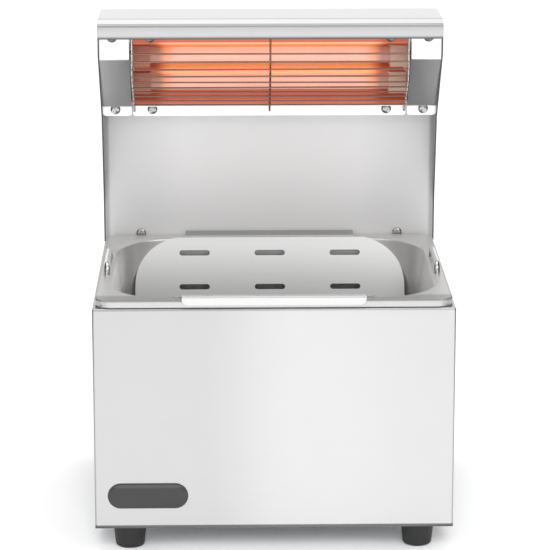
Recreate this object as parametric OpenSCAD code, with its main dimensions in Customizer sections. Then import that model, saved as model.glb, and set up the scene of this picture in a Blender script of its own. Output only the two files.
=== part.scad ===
// Countertop chip warmer: a steel case holds a half-size catering pan with a slotted
// scoop liner, and a column at the back carries a hooded head with two quartz heat lamps.
// Origin: on the floor, under the middle of the whole warmer. +X right, +Y back, +Z up.

/* [Case] */
// Gap from the pan's rim to each side of the case
case_margin = 2.5; // [2:0.1:6]
// Depth of the column behind the pan
column_d = 27.8; // [26:0.2:60]
// Height of the case without its feet
case_h = 207; // [180:1:240]
// Height of the case above the floor
foot_rise = 27.5; // [18:0.5:36]
// Thickness of the folded steel sheet
sheet = 1.2; // [0.8:0.1:1.6]
// Outside bend radius of the case edges
case_edge_r = 2.2; // [1.7:0.1:3]
// Width of the folded-in flanges of the case
return_w = 14; // [10:0.5:15]

/* [Pan] */
// Width of the pan over its rim
pan_w = 325; // [310:1:325]
// Depth of the pan over its rim, front to back
pan_d = 265; // [250:1:265]
// Height of the pan from its base to its rim
pan_h = 150; // [100:1:155]
// Width of the flat rim
pan_rim_w = 12.5; // [12:0.5:16]
// Depth of the rim's turned-down lip
pan_lip = 7; // [6:0.5:12]
// Wall thickness of the pan
pan_wall = 1; // [0.8:0.1:1.4]
// Corner radius of the pan's mouth
pan_corner_r = 56; // [40:1:60]
// Outer corner radius of the rim
rim_corner_r = 15; // [6:0.5:20]
// How far the pan's sides draw in on each side from the rim to the base
pan_taper = 12; // [8:0.5:16]
// Radius round the base of the pan
pan_base_r = 18; // [10:1:24]
// Gap from the case's front face back to the pan's rim
pan_setback = 2; // [1.8:0.1:2.5]
// Gap from the pan's rim back to the column's front panel
pan_back_gap = 3.2; // [3:0.1:8]

/* [Liner] */
// Thickness of the liner sheet
liner_t = 1.2; // [0.8:0.1:1.5]
// Distance of the liner's sides in from the pan's rim
liner_side_in = 29.5; // [28:0.5:50]
// Distance of the ends of the hooks in from the liner's sides
liner_hook_in = 49.5; // [47:0.5:70]
// Depth of the front hook's downturn below the liner's rim
liner_hook_drop = 5.6; // [4:0.2:7]
// Height by which both hooks rise towards their ends
liner_hook_rise = 2.8; // [1.6:0.2:4]
// Height of the liner's floor above the inside of the pan's base
liner_clear = 20; // [16:1:40]
// Slope of the liner's back wall, in degrees
liner_back_slope = 60; // [56:1:66]
// Slope of the liner's front wall, in degrees
liner_front_slope = 80; // [76:1:84]
// Bend radius at the liner's floor
liner_bend_r = 30; // [20:1:36]
// Radius of the liner's upper corners
liner_corner_r = 49; // [44:0.5:49]
// Length of a drain slot
slot_l = 30; // [16:1:40]
// Width of a drain slot
slot_w = 5.4; // [4:0.2:7]
// Spacing of the drain slots across the liner
slot_pitch_x = 74.5; // [60:0.5:80]
// Spacing of the rows of drain slots down the liner
slot_pitch = 35; // [26:1:44]
// Distance from the liner's upper edge to its first row of slots
slot_first = 17; // [12:0.5:22]

/* [Pan handles] */
// Thickness of the handle wire
handle_wire = 5.6; // [4.6:0.2:6]
// Distance between the two legs of a handle
handle_span = 66; // [50:1:90]
// Height of a handle above the rim when it is down
handle_rise = 11.5; // [9:0.5:16]
// How far a handle pulls up
handle_travel = 30; // [20:1:34]
// Size of the welded-on bracket that guides a handle's legs, out from the pan
guide_reach = 11; // [10.5:0.1:11.5]

/* [Column and head] */
// Height from the case's top to the bottom of the head
head_clear = 130.3; // [120:0.1:160]
// Height of the head, from its lower flanges to the top of the hood
head_h = 103.6; // [101:0.1:106]
// How far the hood reaches forward of the column's front panel
hood_reach = 80.2; // [77:0.1:84]
// Height of the hood's front lip
lip_h = 13; // [11:0.5:14]
// Depth of the sloped strip above the lip
hood_slope_run = 12; // [9:0.5:15]
// Drop of the sloped strip above the lip
hood_slope_drop = 5; // [4:0.5:7]
// Depth of the hood's rear slope
hood_rear_run = 28; // [20:1:30]
// Drop of the hood's rear slope
hood_rear_drop = 12; // [8:0.5:14]
// Height of the hood's rear flange
hood_rear_lip = 8; // [6:0.5:10]
// Bend radius of the hood and the head plates
bend_r = 2.5; // [2:0.1:3.5]
// Thickness of the two side plates
side_t = 1.5; // [1.2:0.1:2]
// Height of the cheeks' lower front corner above the head's lower flanges
cheek_front_h = 70; // [66:1:74]
// How far the head's lower edge stands forward of the column's front panel
flange_reach = 20.2; // [19:0.1:22]
// Height of the free edge above the head's lower screw flanges
flange_h = 10; // [9.4:0.1:10.8]
// Width of each shoulder plate with the side plate beside it
shoulder_w = 31; // [29:0.5:34]
// Gap between the lamp unit and each shoulder plate
unit_gap = 1.2; // [0.8:0.1:2]

/* [Lamps] */
// Outer diameter of a quartz tube
tube_d = 15.5; // [12:0.5:19]
// Wall of a quartz tube
tube_wall = 1.2; // [0.8:0.1:1.6]
// Length of an end cap along the lamp
cap_l = 17; // [12:0.5:20]
// Height and depth of an end cap
cap_s = 21; // [20:0.5:24]
// How far a tube goes into its end caps
tube_seat = 5; // [3:0.5:7]
// Upper lamp: distance back from the hood's front lip
lamp_upper_in = 32; // [31:0.5:34]
// Upper lamp: drop below the top of the hood
lamp_upper_drop = 38; // [38:0.5:40]
// Lower lamp: distance back from the hood's front lip
lamp_lower_in = 53; // [52:0.5:54]
// Lower lamp: drop below the top of the hood
lamp_lower_drop = 67.5; // [66:0.5:67.5]
// Diameter of the heating spiral inside a tube
spiral_d = 5; // [3:0.5:7]

/* [Wire guard] */
// Thickness of the guard's cross wires
guard_wire = 1.6; // [1.4:0.1:2.4]
// Thickness of the guard's upright wires
guard_rib = 2.2; // [2:0.1:3]
// Spacing of the cross wires along the guard
guard_pitch = 8.4; // [7:0.1:10]
// Number of cross wires
guard_count = 10; // [8:1:10]
// Bend radius of the guard
guard_r = 60; // [56:1:62]
// How far the guard turns back underneath, in degrees
guard_turn = 50; // [48:1:52]

/* [Fittings] */
// Diameter of a foot where it meets the case
foot_top_d = 33.4; // [28:0.2:33.4]
// Diameter of a foot on the floor
foot_bottom_d = 27.2; // [22:0.2:32]
// Distance of each foot's centre in from the case's sides and front
foot_inset = 31; // [29:0.5:36]
// Length of the blank badge plate
badge_l = 74; // [50:1:90]
// Height of the blank badge plate
badge_h = 24; // [16:0.5:30]
// Thickness of the blank badge plate
badge_t = 1.5; // [1:0.1:2.5]
// Distance of the badge's centre in from the case's side
badge_in = 49; // [46:1:120]
// Height of the badge's centre above the case's bottom edge
badge_up = 30; // [24:1:60]
// Head diameter of the large screws
screw_head_d = 9.8; // [8:0.2:10]
// Shank diameter of the large screws
screw_d = 5; // [4:0.2:5]
// Distance of the switch and the mains socket in from the case's side
service_in = 65; // [55:1:90]
// Height of the switch above the case's top
switch_up = 62; // [50:1:80]
// Swing of the rocker from off to on, in degrees
rocker_swing = 20; // [12:1:24]

/* [Hidden] */

$fn = 48;
hull_fn = 32;
cut = 1;               // how far a cutter passes through a face
seat_gap = 0.3;        // running gap under pieces that lift off
slide_gap = 0.25;      // radial gap round a handle leg

// Levels above the floor
case_bottom = foot_rise;
deck_z = foot_rise + case_h;
rim_z = deck_z + seat_gap + pan_lip;
pan_base_z = rim_z - pan_h;
head_z = deck_z + head_clear;
top_z = head_z + head_h;
flange_z = head_z + flange_h;

// Sizes that follow from the pan
case_w = pan_w + 2 * case_margin;
panel_setback = pan_setback + pan_d + pan_back_gap;
case_d = panel_setback + column_d;
lip_setback = panel_setback - hood_reach;
flange_setback = panel_setback - flange_reach;
lamp_unit_w = case_w - 2 * shoulder_w;
lamp_upper_y = lip_setback + lamp_upper_in;
lamp_lower_y = lip_setback + lamp_lower_in;
liner_w = pan_w - 2 * liner_side_in;
liner_hook_w = liner_w - 2 * liner_hook_in;
badge_left = case_w / 2 - badge_in;
service_x = case_w / 2 - service_in;

// Depths from the case's front face, turned into row coordinates by from_front()
rocker_axis_in = 3;              // depth of the rocker's axis inside the cover's face
rocker_face = 3.2;               // height of the rocker's tips above that face
rocker_h = 24;
rocker_proud = (rocker_axis_in + rocker_face) * cos(rocker_swing / 2)
             + (rocker_h / 2 - 0.4) * sin(rocker_swing / 2) - rocker_axis_in;
front_y = badge_t - (badge_t + case_d + rocker_proud) / 2;
cover_y = case_d - sheet;
rim_back = pan_setback + pan_d;
unit_y = lip_setback + 4.5;      // front face of the upper screw flanges
flange_y = flange_setback + 4.5; // front face of the lower screw flanges
step_z = flange_z + 6;           // top of the step that joins a lower flange to its plate
pan_mid_y = pan_setback + pan_d / 2;

steel = [0.80, 0.81, 0.82];
dark_steel = [0.62, 0.63, 0.64];
black = [0.09, 0.09, 0.10];
ceramic = [0.86, 0.80, 0.74];
quartz = [0.98, 0.72, 0.60];
copper = [0.72, 0.42, 0.25];
brass = [0.78, 0.62, 0.30];

module from_front() translate([0, front_y, 0]) children();

// Points of an arc that rounds the corner b between a and c
function unit(v) = v / norm(v);
function corner_arc(a, b, c, r, n = 5) =
  let (u = unit(a - b),
       v = unit(c - b),
       half = acos(max(-1, min(1, u * v))) / 2,
       mid = b + unit(u + v) * r / sin(half),
       p = b + u * r / tan(half) - mid,
       q = b + v * r / tan(half) - mid,
       start = atan2(p.y, p.x),
       raw = atan2(q.y, q.x) - start,
       sweep = raw > 180 ? raw - 360 : raw < -180 ? raw + 360 : raw)
  [for (i = [0:n]) mid + r * [cos(start + sweep * i / n), sin(start + sweep * i / n)]];

// A path with every inner corner rounded; r is one radius or one for each point
function round_path(pts, r) = concat(
  [pts[0]],
  [for (i = [1:len(pts) - 2])
    each corner_arc(pts[i - 1], pts[i], pts[i + 1], is_list(r) ? r[i] : r)],
  [pts[len(pts) - 1]]);

// The path moved sideways by off, to the right of its direction
function right_of(v) = [v.y, -v.x];
function mitre(path, i) =
  let (last = len(path) - 1,
       n1 = right_of(unit(path[min(i + 1, last)] - path[min(i, last - 1)])),
       n0 = right_of(unit(path[max(i, 1)] - path[max(i - 1, 0)])),
       m = unit(n0 + n1))
  m / (m * n1);
function beside(path, off) = [for (i = [0:len(path) - 1]) path[i] + off * mitre(path, i)];
function backwards(path) = [for (i = [len(path) - 1:-1:0]) path[i]];

// A folded strip: the path is one face, the sheet lies to the right of it
function strip(path, t) = concat(path, backwards(beside(path, t)));

// Stands a side view drawn as [depth, height] up across the width x0 to x1
module across(x0, x1) {
  translate([x0, 0, 0]) rotate([90, 0, 90]) linear_extrude(x1 - x0) children();
}

module rounded_rect(w, d, r) {
  square([w - 2 * r, d], center = true);
  square([w, d - 2 * r], center = true);
  for (x = [-1, 1], y = [-1, 1]) translate([x * (w / 2 - r), y * (d / 2 - r)]) circle(r);
}

module stadium(l, w) {
  square([l - w, w], center = true);
  for (s = [-1, 1]) translate([s * (l - w) / 2, 0]) circle(w / 2);
}

// Pan-head screw with a cross recess; the head stands on z = 0 and the shank hangs below
module pan_screw(head_d, d, l, recess = true) {
  head_h = head_d * 0.27;
  dome_r = head_d * 0.62;
  difference() {
    union() {
      intersection() {
        cylinder(d = head_d, h = head_h);
        translate([0, 0, head_h - dome_r]) sphere(dome_r);
      }
      translate([0, 0, -l]) cylinder(d = d, h = l + head_h / 4);
    }
    if (recess) for (turn = [0, 90]) rotate(turn)
      translate([-head_d * 0.28, -head_d * 0.055, head_h * 0.45])
        cube([head_d * 0.56, head_d * 0.11, head_h]);
  }
}

// Screws that face forwards, standing on the plane y
module front_screws(xs, y, z, head_d, d, l) {
  for (x = xs) translate([x, y, z]) rotate([90, 0, 0]) pan_screw(head_d, d, l);
}

// Straight lengths with ball joints through a list of points
module lead(points, d) {
  for (i = [0:len(points) - 2]) {
    a = points[i];
    v = points[i + 1] - a;
    translate(a) rotate([0, acos(v.z / norm(v)), atan2(v.y, v.x)]) cylinder(d = d, h = norm(v));
    if (i > 0) translate(a) sphere(d = d * 1.12);
  }
}

// Case

pan_body_w = pan_w - 2 * pan_rim_w + 2 * pan_wall;
pan_body_d = pan_d - 2 * pan_rim_w + 2 * pan_wall;
mouth_gap = 2;
base_t = sheet;
base_z = case_bottom + sheet;
base_screw_x = case_w / 2 - 62;
base_screw_in = return_w / 2;
back_screw_x = case_w / 2 - side_t - return_w / 2;
back_screw_zs = [case_bottom + 20, deck_z - 26, deck_z + 34, head_z - 10, head_z + 66];

module case_outline(grow) {
  r = case_edge_r;
  w = case_w + 2 * grow;
  intersection() {
    translate([-w / 2, -grow, case_bottom]) cube([w, cover_y + grow, case_h + grow]);
    translate([0, cover_y / 2, case_bottom]) linear_extrude(case_h)
      translate([0, r]) rounded_rect(w, cover_y + 2 * r, r);
    translate([0, cover_y, case_bottom + case_h / 2]) rotate([90, 0, 0])
      linear_extrude(cover_y) rounded_rect(w, case_h, r);
    translate([-w / 2, cover_y / 2, deck_z - r - case_h / 2]) rotate([90, 0, 90])
      linear_extrude(w) translate([r, 0]) rounded_rect(cover_y + 2 * r, case_h + 2 * r, r);
  }
}

module pan_mouth_cut() {
  translate([0, pan_mid_y, 0]) linear_extrude(deck_z + cut) {
    rounded_rect(pan_body_w + 2 * mouth_gap, pan_body_d + 2 * mouth_gap,
                 pan_corner_r + pan_wall + mouth_gap);
    square([2 * (pan_body_w / 2 + guide_reach - 1), handle_span + 2 * guide_end + 4],
           center = true);
  }
}

// The whole folded case; its walls, deck and flanges are taken from it one by one
module folded_case() {
  inside_w = case_w - 2 * sheet;
  difference() {
    case_outline(0);
    translate([-inside_w / 2, sheet, base_z])
      cube([inside_w, cover_y - 2 * sheet, case_h - 2 * sheet]);
    translate([-(case_w / 2 - return_w), return_w, case_bottom - cut])
      cube([case_w - 2 * return_w, cover_y - 2 * return_w, sheet + 2 * cut]);
    translate([-(case_w / 2 - return_w), cover_y / 2, case_bottom + return_w])
      cube([case_w - 2 * return_w, cover_y, case_h - 2 * return_w]);
    translate([0, 0, base_z]) pan_mouth_cut();
    for (x = [-1, 1], y = [base_screw_in, cover_y - base_screw_in])
      translate([x * base_screw_x, y, case_bottom - cut])
        cylinder(d = screw_d + 0.4, h = sheet + 2 * cut);
    for (x = [-1, 1], z = [back_screw_zs[0], back_screw_zs[1]])
      translate([x * back_screw_x, cover_y + cut, z]) rotate([90, 0, 0])
        cylinder(d = small_screw_d, h = sheet + 2 * cut);
    translate([-service_x, grommet_y, deck_z - sheet - cut])
      cylinder(d = grommet_hole_d, h = sheet + 2 * cut);
  }
}

// The folded case inside a block from a to b
module case_piece(a, b) {
  color(steel) from_front() intersection() {
    folded_case();
    translate(a) cube(b - a);
  }
}

wall_x = case_w / 2 - sheet;
far = case_w;
module case_deck() {
  case_piece([-far, -cut, deck_z - sheet], [far, far, deck_z + cut]);
}

module case_side(side) {
  x0 = side < 0 ? -far : wall_x;
  case_piece([x0, -cut, base_z], [x0 + far - (side < 0 ? wall_x : 0), far, deck_z - sheet]);
}

module case_front() {
  case_piece([-wall_x, -cut, base_z], [wall_x, sheet, deck_z - sheet]);
}

module case_base_flange() {
  case_piece([-far, -cut, case_bottom - cut], [far, far, base_z]);
}

module case_back_flange() {
  case_piece([-wall_x, cover_y - sheet, base_z], [wall_x, far, deck_z - sheet]);
}

vent_l = 40;
vent_pitch = vent_l + 12;
vent_w = 4;
module base_plate() {
  fit = 0.3;
  w = case_w - 2 * sheet - 2 * fit;
  d = cover_y - 2 * sheet - 2 * fit;
  color(dark_steel) from_front() difference() {
    translate([-w / 2, sheet + fit, base_z]) cube([w, d, base_t]);
    for (x = [-1, 1], y = [base_screw_in, cover_y - base_screw_in])
      translate([x * base_screw_x, y, base_z - cut]) cylinder(d = small_screw_d, h = base_t + 2 * cut);
    for (p = foot_places) translate([p.x, p.y, base_z - cut])
      cylinder(d = foot_screw_d + 0.4, h = base_t + 2 * cut);
    for (x = [-1, 0, 1] * vent_pitch, i = [0:5]) translate([x, case_d / 2 + (i - 2.5) * 14, base_z - cut])
      linear_extrude(base_t + 2 * cut) stadium(vent_l, vent_w);
    translate([-earth_x, earth_y, base_z - cut]) cylinder(d = 5, h = base_t + 2 * cut);
  }
}

// Back cover

cover_top = top_z - hood_rear_drop - hood_rear_lip - seat_gap;
switch_z = deck_z + switch_up;
switch_cut = [22, 28];
inlet_z = case_bottom + 44;
inlet_body = [28, 20, 20];      // width, depth, height
inlet_flange = [50, 2, 26];
inlet_screw_dx = 20;
small_screw_d = 4;
small_head_d = 7.4;

module back_cover() {
  h = cover_top - case_bottom;
  color(steel) from_front() difference() {
    translate([0, case_d, case_bottom + h / 2]) rotate([90, 0, 0])
      linear_extrude(sheet) rounded_rect(case_w, h, 3);
    for (x = [-1, 1], z = back_screw_zs) translate([x * back_screw_x, case_d + cut, z])
      rotate([90, 0, 0]) cylinder(d = small_screw_d + 0.4, h = sheet + 2 * cut);
    translate([-service_x - switch_cut.x / 2, cover_y - cut, switch_z - switch_cut.y / 2])
      cube([switch_cut.x, sheet + 2 * cut, switch_cut.y]);
    translate([-service_x - inlet_body.x / 2, cover_y - cut, inlet_z - inlet_body.z / 2])
      cube([inlet_body.x, sheet + 2 * cut, inlet_body.z]);
    for (s = [-1, 1]) translate([-service_x + s * inlet_screw_dx, case_d + cut, inlet_z])
      rotate([90, 0, 0]) cylinder(d = 3.4, h = sheet + 2 * cut);
    for (x = [-1.5, -0.5, 0.5, 1.5] * vent_pitch, i = [0:4])
      translate([x, case_d + cut, head_z + 22 + i * 11]) rotate([90, 0, 0])
        linear_extrude(sheet + 2 * cut) stadium(vent_l, vent_w);
    for (x = [0, 1, 2] * vent_pitch, i = [0:3])
      translate([x, case_d + cut, case_bottom + 60 + i * 12]) rotate([90, 0, 0])
        linear_extrude(sheet + 2 * cut) stadium(vent_l, vent_w);
  }
}

module back_cover_screws() {
  color(steel) from_front() for (x = [-1, 1], z = back_screw_zs)
    translate([x * back_screw_x, case_d, z]) rotate([-90, 0, 0])
      pan_screw(small_head_d, small_screw_d, sheet * 2 + 4);
}

module base_screws() {
  color(steel) from_front() for (x = [-1, 1], y = [base_screw_in, cover_y - base_screw_in])
    translate([x * base_screw_x, y, case_bottom]) rotate([180, 0, 0])
      pan_screw(small_head_d, small_screw_d, sheet + base_t + 4);
}

// Column and head

hood_line = [
  [lip_setback, top_z - hood_slope_drop - lip_h],
  [lip_setback, top_z - hood_slope_drop],
  [lip_setback + hood_slope_run, top_z],
  [case_d - hood_rear_run, top_z],
  [case_d, top_z - hood_rear_drop],
  [case_d, top_z - hood_rear_drop - hood_rear_lip]
];
hood_path = round_path(hood_line, bend_r);

module hood() {
  color(steel) from_front() across(-case_w / 2, case_w / 2) polygon(strip(hood_path, sheet));
}

// One side plate: an upright web under the hood, with flanges to the back cover and the deck
module side_plate(side) {
  web_x = case_w / 2 - side_t;
  under_hood = beside(hood_path, sheet);
  foot_in = 1.5;
  outline = concat(
    under_hood,
    [[cover_y, deck_z], [panel_setback, deck_z], [panel_setback, deck_z + 40]],
    corner_arc([panel_setback, deck_z + 40], [flange_setback, head_z],
               [lip_setback + sheet, head_z + cheek_front_h], 3),
    [[lip_setback + sheet, head_z + cheek_front_h]]);
  color(steel) from_front() mirror([side < 0 ? 1 : 0, 0, 0]) difference() {
    union() {
      across(web_x, case_w / 2) polygon(outline);
      translate([web_x - return_w, cover_y - sheet, deck_z])
        cube([return_w, sheet, cover_top - deck_z - foot_in]);
      translate([web_x - return_w, panel_setback + 4, deck_z])
        cube([return_w, cover_y - panel_setback - 4, sheet]);
    }
    for (i = [2:4]) translate([back_screw_x, cover_y + cut, back_screw_zs[i]])
      rotate([90, 0, 0]) cylinder(d = small_screw_d, h = sheet + 2 * cut);
  }
}

foot_screw_x = case_w / 2 - 37;
foot_screw_up = 8.6;
panel_line = [
  [panel_setback, deck_z],
  [panel_setback, head_z],
  [flange_y + sheet, head_z],
  [flange_y + sheet, step_z - 2 * sheet]
];
panel_path = round_path(panel_line, [0, sheet * 2, sheet * 2, 0]);
inner_w = case_w - 2 * side_t;

module column_panel() {
  color(steel) from_front() difference() {
    across(-inner_w / 2, inner_w / 2) polygon(strip(panel_path, sheet));
    for (s = [-1, 1]) translate([s * foot_screw_x, panel_setback - cut, deck_z + foot_screw_up])
      rotate([-90, 0, 0]) cylinder(d = screw_d + 0.4, h = sheet + 2 * cut);
    for (x = head_screw_xs) translate([x, flange_y + sheet - cut, head_screw_low_z])
      rotate([-90, 0, 0]) cylinder(d = screw_d + 0.2, h = sheet + 2 * cut);
  }
}

module panel_foot_bracket() {
  w = inner_w - 2 * return_w - 4;
  up = 22;
  back = 16;
  y = panel_setback + sheet;
  color(dark_steel) from_front() difference() {
    union() {
      translate([-w / 2, y, deck_z]) cube([w, sheet, up]);
      translate([-w / 2, y, deck_z]) cube([w, back, sheet]);
    }
    for (s = [-1, 1]) translate([s * foot_screw_x, y - cut, deck_z + foot_screw_up])
      rotate([-90, 0, 0]) cylinder(d = screw_d, h = sheet + 2 * cut);
    translate([-service_x, grommet_y, deck_z - cut]) cylinder(d = grommet_rim_d + 1, h = sheet + 2 * cut);
  }
}

module panel_foot_screws() {
  color(steel) from_front()
    front_screws([-foot_screw_x, foot_screw_x], panel_setback, deck_z + foot_screw_up,
                 screw_head_d, screw_d, 2 * sheet + 5);
}

// The rail under the hood that carries the upper screw flanges
upper_flange_top = top_z - hood_slope_drop - 3;
upper_screw_z = top_z - hood_slope_drop - lip_h + 1.4;
module head_rail() {
  y = unit_y + sheet;
  path = round_path([
    [y, upper_screw_z - 5],
    [y, upper_flange_top - 1],
    [y + 11, top_z - sheet],
    [y + lamp_upper_in, top_z - sheet]], bend_r);
  color(dark_steel) from_front() difference() {
    across(-inner_w / 2, inner_w / 2) polygon(strip(path, sheet));
    for (x = head_screw_xs) translate([x, y - cut, upper_screw_z])
      rotate([-90, 0, 0]) cylinder(d = screw_d, h = sheet + 2 * cut);
  }
}

unit_half = lamp_unit_w / 2;
shoulder_in = unit_half + unit_gap;
head_screw_inner_x = unit_half - 19;
head_screw_outer_x = (shoulder_in + inner_w / 2) / 2 + 2;
head_screw_xs = [-head_screw_outer_x, -head_screw_inner_x, head_screw_inner_x, head_screw_outer_x];
head_screw_low_z = head_z + 6.5;

// Side view of a lower screw flange and the step that welds it to the back of its plate
module lower_flange(from_y) {
  translate([from_y, step_z - sheet]) square([flange_y + sheet - from_y, sheet]);
  translate([flange_y, head_z]) square([sheet, step_z - head_z]);
}

// A sloped plate beside the lamps, with a screw flange above and below
module shoulder(side) {
  slope_top = flange_z + flange_setback - unit_y;
  path = round_path([
    [unit_y, upper_flange_top],
    [unit_y, slope_top],
    [flange_setback, flange_z]], bend_r / 2);
  color(steel) from_front() mirror([side < 0 ? 1 : 0, 0, 0]) difference() {
    across(shoulder_in, inner_w / 2) {
      polygon(concat(path, backwards(beside(path, -sheet))));
      lower_flange(flange_setback - 6 + sheet);
    }
    translate([head_screw_outer_x, unit_y - cut, upper_screw_z]) rotate([-90, 0, 0])
      cylinder(d = screw_d + 0.4, h = sheet + 2 * cut);
    translate([head_screw_outer_x, flange_y - cut, head_screw_low_z]) rotate([-90, 0, 0])
      cylinder(d = screw_d + 0.4, h = sheet + 2 * cut);
  }
}

module head_screws_upper() {
  color(steel) from_front()
    front_screws(head_screw_xs, unit_y, upper_screw_z, screw_head_d, screw_d, 2 * sheet + 4);
}

module head_screws_lower() {
  color(steel) from_front()
    front_screws(head_screw_xs, flange_y, head_screw_low_z, screw_head_d, screw_d,
                 2 * sheet + 4);
}

// Lamp unit

lamp_upper = [lamp_upper_y, top_z - lamp_upper_drop];
lamp_lower = [lamp_lower_y, top_z - lamp_lower_drop];
trough_top = top_z - 24.5;
trough_back = panel_setback + 4;
trough = [
  [unit_y, trough_top],
  [unit_y + 45, trough_top - 1.5],
  [trough_back, trough_top - 34],
  [trough_back, flange_z + 16],
  [flange_y + 1, step_z],
  [flange_setback, step_z]
];
reflector_path = round_path(
  concat([[unit_y, upper_flange_top]], trough, [[flange_setback, flange_z]]),
  [0, 2.5, 8, 8, 6, 0.6, 1.8, 0]);

module reflector() {
  color(steel) from_front() difference() {
    across(-unit_half, unit_half) {
      polygon(concat(reflector_path, backwards(beside(reflector_path, -sheet))));
      lower_flange(flange_y);
    }
    for (s = [-1, 1]) {
      translate([s * head_screw_inner_x, unit_y - cut, upper_screw_z]) rotate([-90, 0, 0])
        cylinder(d = screw_d + 0.4, h = sheet + 2 * cut);
      translate([s * head_screw_inner_x, flange_y - cut, head_screw_low_z]) rotate([-90, 0, 0])
        cylinder(d = screw_d + 0.4, h = sheet + 2 * cut);
    }
  }
}

terminal_d = 4;
module reflector_end(side) {
  inside = round_path([
    trough[0] + 0.1 * (trough[1] - trough[0]),
    trough[1], trough[2], trough[3],
    trough[4] + 0.1 * (trough[3] - trough[4])], [0, 8, 8, 6, 0]);
  color(steel) from_front() mirror([side < 0 ? 1 : 0, 0, 0]) difference() {
    across(unit_half - sheet, unit_half) polygon(backwards(inside));
    for (p = [lamp_upper, lamp_lower]) translate([unit_half - sheet - cut, p.x, p.y])
      rotate([0, 90, 0]) cylinder(d = terminal_d + 1, h = sheet + 2 * cut);
  }
}

cap_out = unit_half - sheet;
tube_end = cap_out - cap_l + tube_seat;
module lamp_tube(at) {
  color(quartz, 0.8) from_front() translate([0, at.x, at.y]) rotate([0, 90, 0]) difference() {
    cylinder(d = tube_d, h = 2 * tube_end, center = true);
    cylinder(d = tube_d - 2 * tube_wall, h = 2 * tube_end + 2 * cut, center = true);
  }
}

module heating_spiral(at) {
  color("orange") from_front() translate([0, at.x, at.y]) rotate([0, 90, 0])
    cylinder(d = spiral_d, h = 2 * tube_end, center = true);
}

// Ceramic caps with a socket for the tube
module lamp_caps(at) {
  color(ceramic) from_front() for (s = [-1, 1]) mirror([s < 0 ? 1 : 0, 0, 0]) difference() {
    translate([cap_out - cap_l, at.x - cap_s / 2, at.y - cap_s / 2]) cube([cap_l, cap_s, cap_s]);
    translate([cap_out - cap_l - cut, at.x, at.y]) rotate([0, 90, 0])
      cylinder(d = tube_d, h = tube_seat + cut);
    translate([cap_out - cap_l, at.x, at.y]) rotate([0, 90, 0])
      cylinder(d = terminal_d, h = cap_l + cut);
  }
}

terminal_out = 7;
module lamp_terminals() {
  color(brass) from_front() for (s = [-1, 1], at = [lamp_upper, lamp_lower])
    mirror([s < 0 ? 1 : 0, 0, 0]) translate([tube_end, at.x, at.y]) rotate([0, 90, 0]) {
      cylinder(d = terminal_d, h = unit_half + terminal_out - tube_end);
      translate([0, 0, unit_half - tube_end + 0.2]) cylinder(d = 8, h = 2.4);
    }
}

// Welded wire guard: cross wires on three bent uprights
guard_y = unit_y - guard_rib / 2;
guard_low_y = flange_setback - 1.5;
guard_low_z = head_z + 6;
guard_run = (guard_low_y - guard_y - guard_r * (1 - cos(guard_turn))) / sin(guard_turn);
guard_bend_z = guard_low_z + guard_r * sin(guard_turn) + guard_run * cos(guard_turn);
guard_first = 9;
guard_rib_x = unit_half - guard_rib / 2 - 0.5;
wire_lead = 0.7;       // how far the cross wires stand in front of the uprights

// Side view of the guard at a distance s below the start of its bend
function guard_point(s) =
  let (turn = min(guard_turn, s / guard_r * 180 / PI),
       past = max(0, s - guard_r * guard_turn * PI / 180),
       r = guard_r + wire_lead)
  [guard_y + guard_r - r * cos(turn) + past * sin(turn),
   guard_bend_z - r * sin(turn) - past * cos(turn)];

module guard_upright(d, feet = true) {
  up = upper_flange_top - 6 - guard_bend_z;
  peg = d - 0.6;
  translate([0, guard_y, guard_bend_z]) cylinder(d = d, h = up);
  translate([0, guard_y + guard_r, guard_bend_z]) rotate([90, 0, 90]) rotate(180)
    rotate_extrude(angle = guard_turn) translate([guard_r, 0]) circle(d = d + 0.1);
  translate([0, guard_low_y, guard_low_z]) rotate([guard_turn, 0, 0]) cylinder(d = d, h = guard_run);
  if (feet) {
    translate([0, guard_y, guard_bend_z + up - peg]) rotate([-90, 0, 0])
      cylinder(d = peg, h = unit_y - guard_y);
    translate([0, guard_low_y - 0.6, guard_low_z + 1]) rotate([-90, 0, 0])
      cylinder(d = peg, h = flange_y - guard_low_y + 0.6);
  }
}

module wire_guard() {
  color(steel) from_front() {
    for (x = [-guard_rib_x, guard_rib_x]) translate([x, 0, 0]) guard_upright(guard_rib);
    guard_upright(guard_wire + 0.3, false);
    for (i = [0:guard_count - 1]) {
      p = guard_point(guard_first + i * guard_pitch);
      translate([-guard_rib_x - 1, p.x, p.y]) rotate([0, 90, 0])
        cylinder(d = guard_wire, h = 2 * (guard_rib_x + 1));
    }
  }
}

// Pan, handles and liner

guide_end = 8;
guide_down = handle_travel + 4;
collar_h = 2;
collar_d = handle_wire + 1.5;
handle_x = pan_w / 2 - 7.6;

// Outline of the tub at a height above the pan's base, drawn in by a wall
module tub_slice(w, d, r, z) {
  for (x = [-1, 1], y = [-1, 1])
    translate([x * (w / 2 - r), pan_mid_y + y * (d / 2 - r), z])
      cylinder(r = r, h = 0.01, $fn = hull_fn);
}

module tub(wall, base) {
  w = pan_body_w - 2 * wall;
  d = pan_body_d - 2 * wall;
  r = pan_corner_r + pan_wall - wall;
  drawn = 2 * pan_taper;
  hull() {
    tub_slice(w, d, r, rim_z - 0.01);
    tub_slice(w - drawn * 0.88, d - drawn * 0.88, r - pan_taper * 0.5, pan_base_z + pan_base_r);
    tub_slice(w - drawn - pan_base_r * 0.6, d - drawn - pan_base_r * 0.6,
              r - pan_taper * 0.6 - pan_base_r * 0.3, pan_base_z + pan_base_r * 0.3);
    tub_slice(w - drawn - 2 * pan_base_r, d - drawn - 2 * pan_base_r,
              r - pan_taper * 0.6 - pan_base_r, pan_base_z + base);
  }
}

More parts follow.
